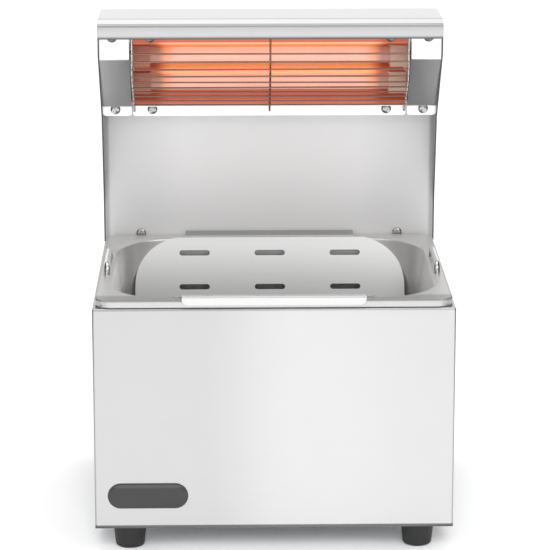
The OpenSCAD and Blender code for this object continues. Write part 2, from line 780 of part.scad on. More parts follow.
module pan_rim() {
  translate([0, pan_mid_y, rim_z - pan_lip]) difference() {
    linear_extrude(pan_lip) rounded_rect(pan_w, pan_d, rim_corner_r);
    translate([0, 0, -cut]) linear_extrude(pan_lip - pan_wall + cut)
      rounded_rect(pan_w - 2 * pan_wall, pan_d - 2 * pan_wall, rim_corner_r - pan_wall);
  }
}

module pan() {
  color(steel) from_front() difference() {
    union() {
      pan_rim();
      tub(0, 0);
    }
    tub(pan_wall, pan_wall);
    translate([0, pan_mid_y, rim_z - pan_wall]) linear_extrude(pan_wall + cut)
      rounded_rect(pan_body_w - 2 * pan_wall, pan_body_d - 2 * pan_wall, pan_corner_r);
    for (x = [-1, 1], y = [-1, 1])
      translate([x * handle_x, pan_mid_y + y * handle_span / 2, rim_z - pan_wall - cut])
        cylinder(d = handle_wire + 2 * slide_gap, h = pan_wall + 2 * cut);
  }
}

// Brackets welded to the pan under its rim, one for each handle
module handle_guides() {
  plate_t = 1.5;
  plate_z = rim_z - pan_wall - guide_down - plate_t;
  wall_in = pan_taper * 0.88 * (rim_z - plate_z - plate_t) / (pan_h - pan_base_r);
  inner = pan_body_w / 2 - wall_in;
  outer = pan_body_w / 2 + guide_reach - 2;
  w = handle_span + 2 * guide_end;
  color(dark_steel) from_front() for (s = [-1, 1]) mirror([s < 0 ? 1 : 0, 0, 0]) difference() {
    translate([inner, pan_mid_y - w / 2, plate_z]) cube([outer - inner, w, plate_t]);
    for (y = [-1, 1]) translate([handle_x, pan_mid_y + y * handle_span / 2, plate_z - cut])
      cylinder(d = handle_wire + 2 * slide_gap, h = plate_t + 2 * cut);
  }
}

// Wire bow with two legs; collars on the legs limit its travel
module pan_handle(side) {
  r = handle_wire;
  half = handle_span / 2;
  bar_z = rim_z + handle_rise - handle_wire / 2;
  leg_end = rim_z - pan_wall - guide_down - 8;
  color(steel) from_front() translate([side * handle_x, pan_mid_y, 0]) {
    for (s = [-1, 1]) mirror([0, s < 0 ? 1 : 0, 0]) {
      translate([0, half, leg_end]) cylinder(d = handle_wire, h = bar_z - r - leg_end);
      translate([0, half, rim_z - pan_wall - guide_down + seat_gap])
        cylinder(d = collar_d, h = collar_h);
      translate([0, half - r, bar_z - r]) rotate([90, 0, 90])
        rotate_extrude(angle = 90) translate([r, 0]) circle(d = handle_wire);
    }
    translate([0, -(half - r), bar_z]) rotate([-90, 0, 0])
      cylinder(d = handle_wire, h = 2 * (half - r));
  }
}

// Liner: a folded slotted sheet that hangs on the front and back of the rim
liner_z = rim_z + seat_gap + liner_t;
hook_out = pan_setback - seat_gap - 0.2 - liner_t;
liner_floor_z = pan_base_z + pan_wall + liner_clear + liner_t;
liner_front_y = pan_setback + pan_rim_w + 4;
liner_back_y = rim_back - pan_rim_w - 2.5;
liner_fall = liner_z - liner_floor_z;
liner_line = [
  [hook_out, liner_z - liner_hook_drop],
  [hook_out, liner_z + liner_hook_rise],
  [liner_front_y, liner_z],
  [liner_front_y + liner_fall / tan(liner_front_slope), liner_floor_z],
  [liner_back_y - liner_fall / tan(liner_back_slope), liner_floor_z],
  [liner_back_y, liner_z],
  [rim_back - 1, liner_z + liner_hook_rise]
];
liner_path = round_path(liner_line, [0, 1.6, 3, liner_bend_r, liner_bend_r, 3, 0]);

// Puts children on the liner's back wall: x across, y down the wall, z out of the sheet
module on_back_wall() {
  translate([0, liner_back_y, liner_z]) rotate([liner_back_slope, 0, 0]) mirror([0, 1, 0]) children();
}
module on_front_wall() {
  translate([0, liner_front_y, liner_z]) rotate([-liner_front_slope, 0, 0]) children();
}

// Cuts both upper corners of a wall to a radius and frees the hook between them
module wall_corner_cut(reach) {
  for (s = [-1, 1]) mirror([s < 0 ? 1 : 0, 0, 0]) translate([0, 0, -20]) linear_extrude(40)
    difference() {
      translate([liner_hook_w / 2, -60]) square([liner_w / 2, 60 + reach]);
      translate([liner_w / 2 - liner_corner_r, liner_corner_r]) circle(liner_corner_r);
      translate([0, liner_corner_r]) square([liner_w / 2, liner_fall]);
      square([liner_w / 2 - liner_corner_r, liner_fall]);
    }
}

// Rounds the liner's front corners, seen from above, so that they clear the pan's corners
module front_corner_cut() {
  r = pan_corner_r + 4;
  for (s = [-1, 1]) mirror([s < 0 ? 1 : 0, 0, 0])
    translate([liner_w / 2 - r, liner_front_y - 2.5 + r, pan_base_z]) linear_extrude(rim_z + 20 - pan_base_z)
      difference() {
        translate([liner_hook_w / 2 - liner_w / 2 + r, -2 * r]) square(2 * r);
        circle(r);
      }
}

module slot_row() {
  for (x = [-slot_pitch_x, 0, slot_pitch_x]) translate([x, 0, -5]) linear_extrude(10)
    stadium(slot_l, slot_w);
}

module hook_corner_cut() {
  r = min(6, liner_hook_drop - 0.4 + liner_hook_rise / 2);
  for (s = [-1, 1]) mirror([s < 0 ? 1 : 0, 0, 0])
    translate([liner_hook_w / 2 - r, pan_setback, liner_z - liner_hook_drop + r])
      rotate([90, 0, 0]) linear_extrude(10) difference() {
        translate([0, -r - cut]) square([r + cut, r + cut]);
        circle(r);
      }
}

module chip_liner() {
  back_rows = floor((liner_fall / sin(liner_back_slope) - slot_first - 18) / slot_pitch);
  floor_front = liner_line[3].x + 22;
  floor_back = liner_line[4].x - 22;
  floor_rows = max(1, floor((floor_back - floor_front) / slot_pitch));
  color(steel) from_front() difference() {
    across(-liner_w / 2, liner_w / 2) polygon(strip(liner_path, liner_t));
    front_corner_cut();
    on_back_wall() wall_corner_cut(liner_corner_r);
    for (s = [-1, 1]) mirror([s < 0 ? 1 : 0, 0, 0])
      translate([liner_hook_w / 2, -10, liner_z - 12])
        cube([liner_w, liner_front_y + 10, 20]);
    for (s = [-1, 1]) mirror([s < 0 ? 1 : 0, 0, 0])
      translate([liner_hook_w / 2, liner_back_y, liner_z - 6]) cube([liner_w, 40, 12]);
    hook_corner_cut();
    on_back_wall() for (i = [0:back_rows]) translate([0, slot_first + i * slot_pitch, 0]) slot_row();
    on_front_wall() for (i = [1:2]) translate([0, slot_first + i * slot_pitch, 0]) slot_row();
    for (i = [0:floor_rows]) translate([0, floor_front + i * (floor_back - floor_front) / floor_rows,
                                        liner_floor_z]) slot_row();
  }
}

// Feet

foot_screw_d = 5;
foot_recess_d = 12;
foot_recess_h = 8;
foot_x = case_w / 2 - foot_inset;
foot_rear_y = case_d - foot_inset - 2;
foot_places = [[-foot_x, foot_inset], [foot_x, foot_inset], [-foot_x, foot_rear_y], [foot_x, foot_rear_y]];

module foot(i) {
  r1 = foot_bottom_d / 2;
  r2 = foot_top_d / 2;
  edge = 2;
  color(black) from_front() translate([foot_places[i].x, foot_places[i].y, 0]) rotate_extrude()
    polygon(concat(
      [[foot_screw_d / 2, foot_recess_h], [foot_recess_d / 2, foot_recess_h], [foot_recess_d / 2, 0]],
      [for (a = [-90:15:0]) [r1 - edge + edge * cos(a), edge + edge * sin(a)]],
      [[r2, base_z], [foot_screw_d / 2, base_z]]));
}

module foot_screws() {
  color(steel) from_front() for (p = foot_places) translate([p.x, p.y, foot_recess_h])
    rotate([180, 0, 0]) pan_screw(9.4, foot_screw_d, base_z + base_t - foot_recess_h + 7);
}

module foot_nuts() {
  color(steel) from_front() for (p = foot_places) translate([p.x, p.y, base_z + base_t])
    difference() {
      cylinder(d = 9.2, h = 4, $fn = 6);
      translate([0, 0, -cut]) cylinder(d = foot_screw_d, h = 4 + 2 * cut);
    }
}

module badge_plate() {
  bevel = 0.5;
  color([0.16, 0.17, 0.18]) from_front()
    translate([-badge_left, 0, case_bottom + badge_up]) rotate([90, 0, 0]) {
      linear_extrude(badge_t - bevel) stadium(badge_l, badge_h);
      translate([0, 0, badge_t - bevel]) linear_extrude(bevel)
        stadium(badge_l - 2 * bevel, badge_h - 2 * bevel);
    }
}

// Switch: a framed rocker in the back cover

switch_bezel = [26, 2, 32];
switch_body_d = 21;
rocker_size = [15, rocker_h];
rocker_gap = 0.4;
rocker_r = sqrt(pow(rocker_size.y / 2, 2) + pow(rocker_axis_in + 1, 2));
switch_wall = 2;

module switch_housing() {
  cav_x = rocker_size.x + 2 * rocker_gap;
  cav_z = 2 * (rocker_r + rocker_gap);
  fit = 0.2;
  color(black) from_front() translate([-service_x, case_d, switch_z]) difference() {
    union() {
      translate([-switch_bezel.x / 2, 0, -switch_bezel.z / 2]) cube(switch_bezel);
      translate([-switch_cut.x / 2 + fit, -switch_body_d, -switch_cut.y / 2 + fit])
        cube([switch_cut.x - 2 * fit, switch_body_d + cut, switch_cut.y - 2 * fit]);
    }
    translate([-cav_x / 2, -rocker_axis_in, 0]) rotate([0, 90, 0]) cylinder(d = cav_z, h = cav_x);
    translate([-cav_x / 2, -rocker_axis_in, -cav_z / 2]) cube([cav_x, 20, cav_z]);
    translate([-cav_x / 2 - 1.5, -rocker_axis_in, 0]) rotate([0, 90, 0])
      cylinder(d = 2.1, h = cav_x + 3);
  }
}

// The rocker rests tilted to off; its two faces meet in a shallow ridge at the axis
module switch_rocker() {
  tip = 1.2;
  h = rocker_size.y / 2 - 0.4;
  color([0.13, 0.13, 0.14]) from_front()
    translate([-service_x, case_d - rocker_axis_in, switch_z]) rotate([rocker_swing / 2, 0, 0]) {
      across(-rocker_size.x / 2, rocker_size.x / 2)
        polygon([[-3, -h * 0.55], [rocker_axis_in + rocker_face, -h], [rocker_axis_in + tip, 0],
                 [rocker_axis_in + rocker_face, h], [-3, h * 0.55]]);
      translate([-rocker_size.x / 2 - 1.2, 0, 0]) rotate([0, 90, 0])
        cylinder(d = 2, h = rocker_size.x + 2.4);
    }
}

module switch_terminals() {
  color(brass) from_front() for (z = [-7, 0, 7])
    translate([-service_x - 3.2, case_d - switch_body_d - 4, switch_z + z - 0.4]) cube([6.4, 4, 0.8]);
}

// Mains inlet: a recessed three-pin socket on a flange

inlet_deep = 16;
module mains_inlet() {
  fit = 0.2;
  wall = 2;
  color(black) from_front() translate([-service_x, case_d, inlet_z]) difference() {
    union() {
      translate([-inlet_flange.x / 2, 0, -inlet_flange.z / 2]) cube(inlet_flange);
      translate([-inlet_body.x / 2 + fit, -inlet_body.y, -inlet_body.z / 2 + fit])
        cube([inlet_body.x - 2 * fit, inlet_body.y + cut, inlet_body.z - 2 * fit]);
    }
    translate([-inlet_body.x / 2 + fit + wall, -inlet_deep, -inlet_body.z / 2 + fit + wall])
      cube([inlet_body.x - 2 * (fit + wall), inlet_deep + 10, inlet_body.z - 2 * (fit + wall)]);
    for (s = [-1, 1]) translate([s * inlet_screw_dx, 10, 0]) rotate([90, 0, 0])
      cylinder(d = 3.2, h = 20);
  }
}

module inlet_pins() {
  color(brass) from_front() for (p = [[-7, -1.5], [0, 2.5], [7, -1.5]])
    translate([-service_x + p.x - 1, case_d - inlet_deep, inlet_z + p.y - 2]) cube([2, inlet_deep - 2, 4]);
}

module inlet_screws() {
  color(steel) from_front() for (s = [-1, 1])
    translate([-service_x + s * inlet_screw_dx, case_d + inlet_flange.y, inlet_z]) rotate([-90, 0, 0])
      pan_screw(5.4, 3, inlet_flange.y + sheet + 5);
}

// Wiring inside the case and the column

lead_d = 6.5;
wire_d = 3.2;
grommet_hole_d = 12;
grommet_rim_d = 15;
grommet_y = panel_setback + 15;
block_size = [44, 14, 20];
block_z = head_z - 24;

module deck_grommet() {
  color(black) from_front() translate([-service_x, grommet_y, deck_z]) rotate_extrude()
    polygon([[lead_d / 2, -sheet - 2], [grommet_rim_d / 2, -sheet - 2], [grommet_rim_d / 2, -sheet],
             [grommet_hole_d / 2, -sheet], [grommet_hole_d / 2, 0], [grommet_rim_d / 2, 0],
             [grommet_rim_d / 2, 2], [lead_d / 2, 2]]);
}

module supply_lead() {
  low = inlet_z + inlet_body.z / 2 - 0.2;
  high = switch_z - switch_cut.y / 2 + 0.2;
  color([0.15, 0.15, 0.16]) from_front() translate([-service_x, grommet_y, low])
    cylinder(d = lead_d, h = high - low);
}

module switched_lead() {
  low = switch_z + switch_cut.y / 2 - 0.2;
  color([0.15, 0.15, 0.16]) from_front() translate([-service_x, grommet_y, low])
    cylinder(d = lead_d, h = block_z - low);
}

module terminal_block() {
  y = panel_setback + sheet;
  color(ceramic) from_front() difference() {
    translate([-service_x - block_size.x / 2, y, block_z])
      cube([block_size.x, grommet_y + 8 - y, block_size.z]);
    for (x = [-13, 0, 13]) translate([-service_x + x, grommet_y, block_z + block_size.z - 8])
      cylinder(d = 5, h = 8 + cut);
    for (s = [-1, 1]) translate([-service_x + s * (block_size.x / 2 - 3.5), y - cut, block_z + 5])
      rotate([-90, 0, 0]) cylinder(d = 3.4, h = block_size.y * 2);
  }
}

module terminal_block_screws() {
  y = grommet_y + 8;
  color(steel) from_front() for (s = [-1, 1])
    translate([-service_x + s * (block_size.x / 2 - 3.5), y, block_z + 5]) rotate([-90, 0, 0]) pan_screw(5, 3, block_size.y);
}

// One fibre-sleeved wire from the block to each end of the lamps
module lamp_wire(side) {
  top = block_z + block_size.z - 8;
  start_x = -service_x + side * 13;
  end_x = side * (unit_half + terminal_out + 6);
  run_z = lamp_upper.y + 9;
  run_y = grommet_y + 3;
  stud_x = side * (unit_half + terminal_out);
  color([0.92, 0.90, 0.84]) from_front() lead([
    [start_x, grommet_y, top],
    [start_x, grommet_y, run_z - 6],
    [start_x + side * 6, run_y, run_z],
    [end_x, run_y, run_z],
    [end_x, lamp_lower.x + 10, lamp_lower.y + 14],
    [stud_x + side * 4, lamp_lower.x, lamp_lower.y],
    [stud_x, lamp_lower.x, lamp_lower.y]], wire_d);
}

earth_x = 60;
earth_y = 262;
module earth_stud() {
  color(brass) from_front() translate([-earth_x, earth_y, base_z - 0.01]) {
    translate([0, 0, -1.8]) cylinder(d = 8, h = 1.8);
    cylinder(d = 5, h = 14);
    translate([0, 0, base_t + 0.01]) cylinder(d = 9.2, h = 4, $fn = 6);
  }
}

case_front();
case_side(-1);  // case_side_left
case_side(1);  // case_side_right
case_deck();
case_base_flange();
case_back_flange();
base_plate();
back_cover();
side_plate(-1);  // side_plate_left
side_plate(1);  // side_plate_right
column_panel();
panel_foot_bracket();
hood();
head_rail();
shoulder(-1);  // shoulder_left
shoulder(1);  // shoulder_right
reflector();
reflector_end(-1);  // reflector_end_left
reflector_end(1);  // reflector_end_right
lamp_tube(lamp_upper);  // lamp_tube_upper
lamp_tube(lamp_lower);  // lamp_tube_lower
heating_spiral(lamp_upper);  // heating_spiral_upper
heating_spiral(lamp_lower);  // heating_spiral_lower
lamp_caps(lamp_upper);  // lamp_caps_upper
lamp_caps(lamp_lower);  // lamp_caps_lower
lamp_terminals();
wire_guard();
pan();
chip_liner();
pan_handle(-1);  // pan_handle_left
pan_handle(1);  // pan_handle_right
handle_guides();
badge_plate();
foot(0);  // foot_front_left
foot(1);  // foot_front_right
foot(2);  // foot_rear_left
foot(3);  // foot_rear_right
foot_screws();
foot_nuts();
base_screws();
panel_foot_screws();
head_screws_upper();
head_screws_lower();
back_cover_screws();
switch_housing();
switch_rocker();
switch_terminals();
mains_inlet();
inlet_pins();
inlet_screws();
terminal_block();
terminal_block_screws();
deck_grommet();
supply_lead();
switched_lead();
lamp_wire(-1);  // lamp_wire_left
lamp_wire(1);  // lamp_wire_right
earth_stud();
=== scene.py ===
import bpy
import bmesh
import math
from functools import partialmethod
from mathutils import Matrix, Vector


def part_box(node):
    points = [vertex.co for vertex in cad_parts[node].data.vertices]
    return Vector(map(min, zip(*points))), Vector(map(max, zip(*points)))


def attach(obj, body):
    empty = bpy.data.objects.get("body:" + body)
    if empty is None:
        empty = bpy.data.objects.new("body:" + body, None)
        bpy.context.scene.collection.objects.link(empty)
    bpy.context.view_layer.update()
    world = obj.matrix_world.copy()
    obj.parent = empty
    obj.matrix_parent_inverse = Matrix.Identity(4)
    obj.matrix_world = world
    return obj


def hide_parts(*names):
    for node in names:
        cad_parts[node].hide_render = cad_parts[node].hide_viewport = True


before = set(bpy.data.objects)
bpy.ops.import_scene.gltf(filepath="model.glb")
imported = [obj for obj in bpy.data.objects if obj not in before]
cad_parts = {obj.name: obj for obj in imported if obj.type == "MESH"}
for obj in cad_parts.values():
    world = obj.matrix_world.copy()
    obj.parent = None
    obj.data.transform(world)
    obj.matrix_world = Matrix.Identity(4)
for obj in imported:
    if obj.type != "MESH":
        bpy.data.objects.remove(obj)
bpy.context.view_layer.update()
mm = 0.001
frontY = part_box("case_front")[0].y       # the case's front face
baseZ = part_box("case_front")[0].z         # the case's lower edge
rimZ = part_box("pan")[1].z
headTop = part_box("hood")[1].z
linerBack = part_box("chip_liner")[1].y
print("stage: frame loaded with", len(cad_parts), "nodes")


# node trees: one maker of nodes, and one wrapped socket for sums of shader values

def addNode(tree, kind, inputs=None, settings=None):
    node = tree.nodes.new(kind)
    for key, value in (settings or {}).items():
        setattr(node, key, value)
    for key, value in (inputs or {}).items():
        value = getattr(value, "socket", value)
        if isinstance(value, bpy.types.NodeSocket):
            tree.links.new(value, node.inputs[key])
        else:
            node.inputs[key].default_value = value
    return node


class Wire:
    def __init__(self, tree, socket):
        self.tree = tree
        self.socket = socket

    def math(self, operation, other=None, flip=False):
        pair = [other, self] if flip else [self, other]
        inputs = {place: value for place, value in enumerate(pair) if value is not None}
        node = addNode(self.tree, "ShaderNodeMath", inputs, {"operation": operation})
        return Wire(self.tree, node.outputs[0])

    __add__ = partialmethod(math, "ADD")
    __radd__ = partialmethod(math, "ADD")
    __sub__ = partialmethod(math, "SUBTRACT")
    __rsub__ = partialmethod(math, "SUBTRACT", flip=True)
    __mul__ = partialmethod(math, "MULTIPLY")
    __pow__ = partialmethod(math, "POWER")


def colourOf(value):
    # a single number stands for a grey
    return (value, value, value, 1) if isinstance(value, float) else (*value, 1)


class Finish:
    def __init__(self, name, **constants):
        self.material = bpy.data.materials.new(name)
        self.material.use_nodes = True
        self.tree = self.material.node_tree
        self.shader = self.tree.nodes["Principled BSDF"]
        for socket, value in constants.items():
            self.shader.inputs[socket.replace("_", " ")].default_value = value
        self.place = self.node("TexCoord")["Object"]

    def node(self, kind, inputs=None, settings=None):
        node = addNode(self.tree, "ShaderNode" + kind, inputs, settings)
        return {out.name: Wire(self.tree, out) for out in node.outputs if out.enabled}

    def noise(self, scale, stretch=(1, 1, 1), detail=3.0, rough=0.5):
        spot = self.node("Mapping", {"Vector": self.place, "Scale": stretch})["Vector"]
        return self.node("TexNoise", {
            "Vector": spot, "Scale": scale, "Detail": detail, "Roughness": rough})["Fac"]

    def blend(self, mask, low, high):
        low, high = [c if isinstance(c, Wire) else colourOf(c) for c in (low, high)]
        return self.node("Mix", {0: mask, 6: low, 7: high}, {"data_type": "RGBA"})["Result"]

    def axes(self):
        spot = self.node("SeparateXYZ", {"Vector": self.place})
        return spot["X"], spot["Y"], spot["Z"]

    def step(self, wire, span, origin=0.0):
        # a smooth change over a span: its start and stop, and the values there if not 0 and 1
        start, stop, low, high = (*span, 0.0, 1.0)[:4]
        return self.node("MapRange", {
            "Value": wire, "From Min": origin + start, "From Max": origin + stop,
            "To Min": low, "To Max": high}, {"interpolation_type": "SMOOTHSTEP"})["Result"]

    def fade(self, span):
        # a step by the distance from the middle, to both sides
        return self.step(self.axes()[0].math("ABSOLUTE"), span)

    def feed(self, socket, wire):
        self.tree.links.new(wire.socket, self.shader.inputs[socket])

    def bump(self, height, strength, distance):
        self.feed("Normal", self.node("Bump", {
            "Height": height, "Strength": strength, "Distance": distance})["Normal"])


# finishes; each table of tones holds spans in metres

brushing = {"along": 0.018, "cloud": 7.0, "smear": 38.0, "flat": 0.4, "dark": 0.03, "bump": 0.12,
            "depth": 0.00006}


def steelFinish(name, dark, light, rough, grain, lines=520.0, waves=0.35, shade=None, metal=1.0):
    # grain is the direction of the brushing, 0 for x, 1 for y, 2 for z
    stretch = [1.0, 1.0, 1.0]
    stretch[grain] = brushing["along"]
    finish = Finish(name, Metallic=metal)
    brushed = finish.noise(lines, stretch, 4.0, 0.6)
    cloud = finish.noise(brushing["cloud"], detail=2.0)
    smear = finish.noise(brushing["smear"], (1, 1, brushing["flat"]))
    colour = finish.blend(brushed * 0.45 + cloud * 0.55, dark, light)
    # painted light and shade: the shade function darkens the colour by position on the part, towards a dark
    # tone
    if shade:
        colour = finish.blend(shade(finish), brushing["dark"], colour)
    finish.feed("Base Color", colour)
    finish.feed("Roughness", rough - 0.06 + brushed * 0.08 + (cloud + smear) * 0.03)
    finish.bump(brushed + cloud * waves, brushing["bump"], brushing["depth"])
    return finish.material


caseTones = {"left": (-0.07, 0.02, 0.86, 1.0), "right": (0.05, 0.15, 1.0, 0.95),
             "fold": (0.1632, 0.1644, 1.0, 0.52), "hem": (0.0001, 0.0007, 0.24, 1.0)}


def caseShade(finish):
    # painted light and shade: a broad soft band of painted light, darker towards both sides and most to the
    # left, thin painted dark lines along the folds and a painted dark lower edge
    x, z = finish.axes()[::2]
    band = finish.step(x, caseTones["left"]) * finish.step(x, caseTones["right"])
    return band * finish.fade(caseTones["fold"]) * finish.step(z - baseZ, caseTones["hem"])


panelTones = {"side": (0.070, 0.155, 1.0, 0.77), "joint": (0.1575, 0.1614, 1.0, 0.62)}


def panelShade(finish):
    # painted shade: darker towards the side plates, and a painted contact shadow where it meets them
    return finish.fade(panelTones["side"]) * finish.fade(panelTones["joint"])


hoodTones = {  # the first four below the head's top, the others behind the case's front
    "hem": (0.0145, 0.0177, 1.0, 0.20), "lip": (0.0055, 0.0120, 0.53, 0.62),
    "lowLine": (0.0002, 0.0010, 0.80, 1.0), "lowLineAt": 0.0050,
    "topLine": (0.0003, 0.0014, 0.62, 1.0), "topLineAt": 0.2020,
    "slope": (0.1932, 0.1938), "top": (0.2022, 0.2030, 1.0, 0.92),
}


def hoodShade(finish):
    # painted shade: a darker lip with a painted dark lower edge, a thin painted dark line along each fold,
    # and a slightly darker top
    y, z = finish.axes()[1:]
    below = headTop - z
    hem = finish.step(below, hoodTones["hem"])
    lip = finish.step(below, hoodTones["lip"])
    topLine = finish.step((y - frontY - hoodTones["topLineAt"]).math("ABSOLUTE"), hoodTones["topLine"])
    lowLine = finish.step((below - hoodTones["lowLineAt"]).math("ABSOLUTE"), hoodTones["lowLine"])
    slope = finish.step(y, hoodTones["slope"], frontY)
    top = finish.step(y, hoodTones["top"], frontY)
    return hem * topLine * top * (lip * lowLine * (1.0 - slope) + slope)


shoulderTones = {"front": (0.1949, 0.1957), "rear": (0.2490, 0.2498, 1.0, 0.0),
                 "across": (-0.10, 0.10, 0.55, 0.37)}


def shoulderShade(finish):
    # painted shade: the slanted part is darker than the two upright ones, more so towards the right
    x, y = finish.axes()[:2]
    slant = finish.step(y, shoulderTones["front"], frontY) * finish.step(y, shoulderTones["rear"], frontY)
    return 1.0 - slant + slant * finish.step(x, shoulderTones["across"])


linerTones = {"rear": (-0.0125, -0.0115, 1.0, 0.46), "hook": (0.001, 0.003, 0.86, 1.0),
              "depth": (-0.062, 0.004, 0.48, 1.02)}


def linerShade(finish):
    # painted shade: darker with depth, at the rear and on the front hook
    y, z = finish.axes()[1:]
    rear = finish.step(y, linerTones["rear"], linerBack)
    hook = finish.step(y, linerTones["hook"], frontY)
    return rear * hook * finish.step(z - rimZ, linerTones["depth"])


panTones = {
    "depth": (-0.120, -0.0040, 1.04, 1.0), "bend": (-0.0016, -0.0010, 1.0, 0.80),
    "lipSide": (0.1600, 0.1612), "lipFront": (0.0042, 0.0030), "freeEdge": (-0.0068, -0.0058, 0.45, 1.0),
    "flange": (-0.0012, -0.0004), "flangeFront": (0.026, 0.016), "lipTone": 0.69, "flangeDrop": 0.38,
}


def panShade(finish):
    # painted shade: the rim above the top bend is darker, and so are the lip, most at its free edge, and the
    # front flange
    y, z = finish.axes()[1:]
    rise = z - rimZ
    wall = finish.step(rise, panTones["depth"]) * finish.step(rise, panTones["bend"])
    lip = finish.fade(panTones["lipSide"]).math("MAXIMUM", finish.step(y, panTones["lipFront"], frontY))
    edge = finish.step(rise, panTones["freeEdge"])
    flange = finish.step(rise, panTones["flange"]) * finish.step(y, panTones["flangeFront"], frontY)
    return wall * (1.0 - lip * (1.0 - edge * panTones["lipTone"])) * (1.0 - flange * panTones["flangeDrop"])


def plainFinish(name, dark, light, rough, scale, grit=0.2, depth=0.0002, **constants):
    finish = Finish(name, **constants)
    cloud = finish.noise(scale, detail=5.0, rough=0.6)
    fine = finish.noise(scale * 9)
    finish.feed("Base Color", finish.blend(cloud * 0.6 + fine * 0.4, dark, light))
    finish.feed("Roughness", rough - 0.05 + cloud * 0.06 + fine * 0.04)
    finish.bump(fine + cloud * 0.5, grit, depth)
    return finish.material


badgeTones = {"face": (0.022, 0.032), "outline": (-0.0011, -0.0005), "outlineShadeTone": 0.026,
              "bevel": (-0.0052, -0.0020), "bevelHighlightTone": 0.092}


def badgeFinish():
    # painted shade and highlight: a painted dark outline and a painted lighter upper bevel round a flat face
    finish = Finish("badgeGloss", Coat_Weight=0.3, Coat_Roughness=0.12)
    low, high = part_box("badge_plate")
    halfL, halfH = (high.x - low.x) / 2, (high.z - low.z) / 2
    x, z = finish.axes()[::2]
    along = (x - (low.x + high.x) / 2).math("ABSOLUTE") - (halfL - halfH)
    up = z - (low.z + high.z) / 2
    reach = (along.math("MAXIMUM", 0.0) ** 2.0 + up.math("ABSOLUTE") ** 2.0).math("SQRT")
    cloud = finish.noise(40.0)
    colour = finish.blend(cloud, *badgeTones["face"])
    colour = finish.blend(finish.step(up, badgeTones["bevel"], halfH), colour, badgeTones["bevelHighlightTone"])
    colour = finish.blend(finish.step(reach, badgeTones["outline"], halfH), colour, badgeTones["outlineShadeTone"])
    finish.feed("Base Color", colour)
    finish.feed("Roughness", 0.27 + cloud * 0.06)
    finish.bump(cloud, 0.05, 0.0001)
    return finish.material


troughTones = {  # spans from the middle or below the head's top, then the flange's colour and the painted lamp light in the trough: tints of the metal and its glow
    "ends": (0.096, 0.114, 1.0, 0.06), "flange": (0.0926, 0.0932, 1.0, 0.0),
    "hotFoot": (0.0680, 0.0790, 1.0, 0.0), "litBandTop": (0.0212, 0.0226), "flangeMetal": 0.98,
    "dullMetal": (0.24, 0.09, 0.07), "litBandMetal": (0.92, 0.42, 0.22), "endMetal": (0.30, 0.10, 0.06),
    "dullGlow": (0.44, 0.100, 0.062), "litBandGlow": (0.63, 0.195, 0.072), "endGlow": (0.200, 0.026, 0.012),
}


def reflectorFinish(tones):
    # bright steel in its lower flange; in the trough, painted lamp light: an orange tint and glow, brightest
    # in a band, darker at the top and redder and dimmer towards the ends
    finish = Finish("paintedLightReflector", Emission_Strength=1.0)
    z = finish.axes()[2]
    brushed = finish.noise(420.0, (0.02, 1, 1), 4.0)
    cloud = finish.noise(14.0, (0.3, 1, 1))
    glow = finish.fade(tones["ends"])
    below = headTop - z
    trough = finish.step(below, tones["flange"])
    litBand = finish.step(below, tones["hotFoot"]) * finish.step(below, tones["litBandTop"])
    metal = finish.blend(glow, tones["endMetal"], finish.blend(litBand, tones["dullMetal"], tones["litBandMetal"]))
    finish.feed("Base Color", finish.blend(trough, tones["flangeMetal"], metal))
    lit = finish.blend(litBand, tones["dullGlow"], tones["litBandGlow"])
    warm = finish.blend(glow * (0.75 + cloud * 0.5), tones["endGlow"], lit)
    finish.feed("Emission Color", finish.blend(trough, 0.0, warm))
    finish.feed("Metallic", 1.0 - trough * 0.35)
    finish.feed("Roughness", 0.24 + brushed * 0.14)
    finish.bump(brushed, 0.15, 0.00006)
    return finish.material


quartzTones = {"ends": (0.100, 0.109, 1.0, 0.0), "near": (0.088, 0.104, 1.0, 0.0),
               "endBody": (0.30, 0.19, 0.16), "body": (0.42, 0.28, 0.24),
               "nearGlow": (0.62, 0.20, 0.07), "endGlow": (0.26, 0.10, 0.07)}


def quartzFinish(name, low, high):
    # a milky tube whose glow goes redder near its ends and out at them
    finish = Finish(name, Coat_Weight=0.35, Coat_Roughness=0.08, Emission_Strength=1.0)
    streak = finish.noise(46.0, (0.35, 1, 1))
    cloud = finish.noise(170.0, (0.2, 1, 1), 2.0)
    glow = finish.fade(quartzTones["ends"])
    finish.feed("Base Color", finish.blend(glow, quartzTones["endBody"], quartzTones["body"]))
    light = finish.blend(streak * 0.7 + cloud * 0.3, low, high)
    light = finish.blend(finish.fade(quartzTones["near"]), quartzTones["nearGlow"], light)
    finish.feed("Emission Color", finish.blend(glow, quartzTones["endGlow"], light))
    finish.feed("Roughness", 0.30 + cloud * 0.12)
    finish.bump(cloud, 0.1, 0.0001)
    return finish.material


def ceramicFinish():
    # painted light on white ceramic caps: the left ones are redder, the right ones paler
    finish = Finish("ceramicCap")
    x = finish.axes()[0]
    cloud = finish.noise(60.0, detail=5.0, rough=0.6)
    left = finish.blend(cloud, (0.38, 0.13, 0.08), (0.58, 0.25, 0.18))
    right = finish.blend(cloud, (0.58, 0.36, 0.27), (0.80, 0.55, 0.44))
    finish.feed("Base Color", finish.blend(finish.step(x, (-0.02, 0.02)), left, right))
    finish.feed("Roughness", 0.58 + cloud * 0.10)
    finish.bump(cloud, 0.2, 0.0002)
    return finish.material


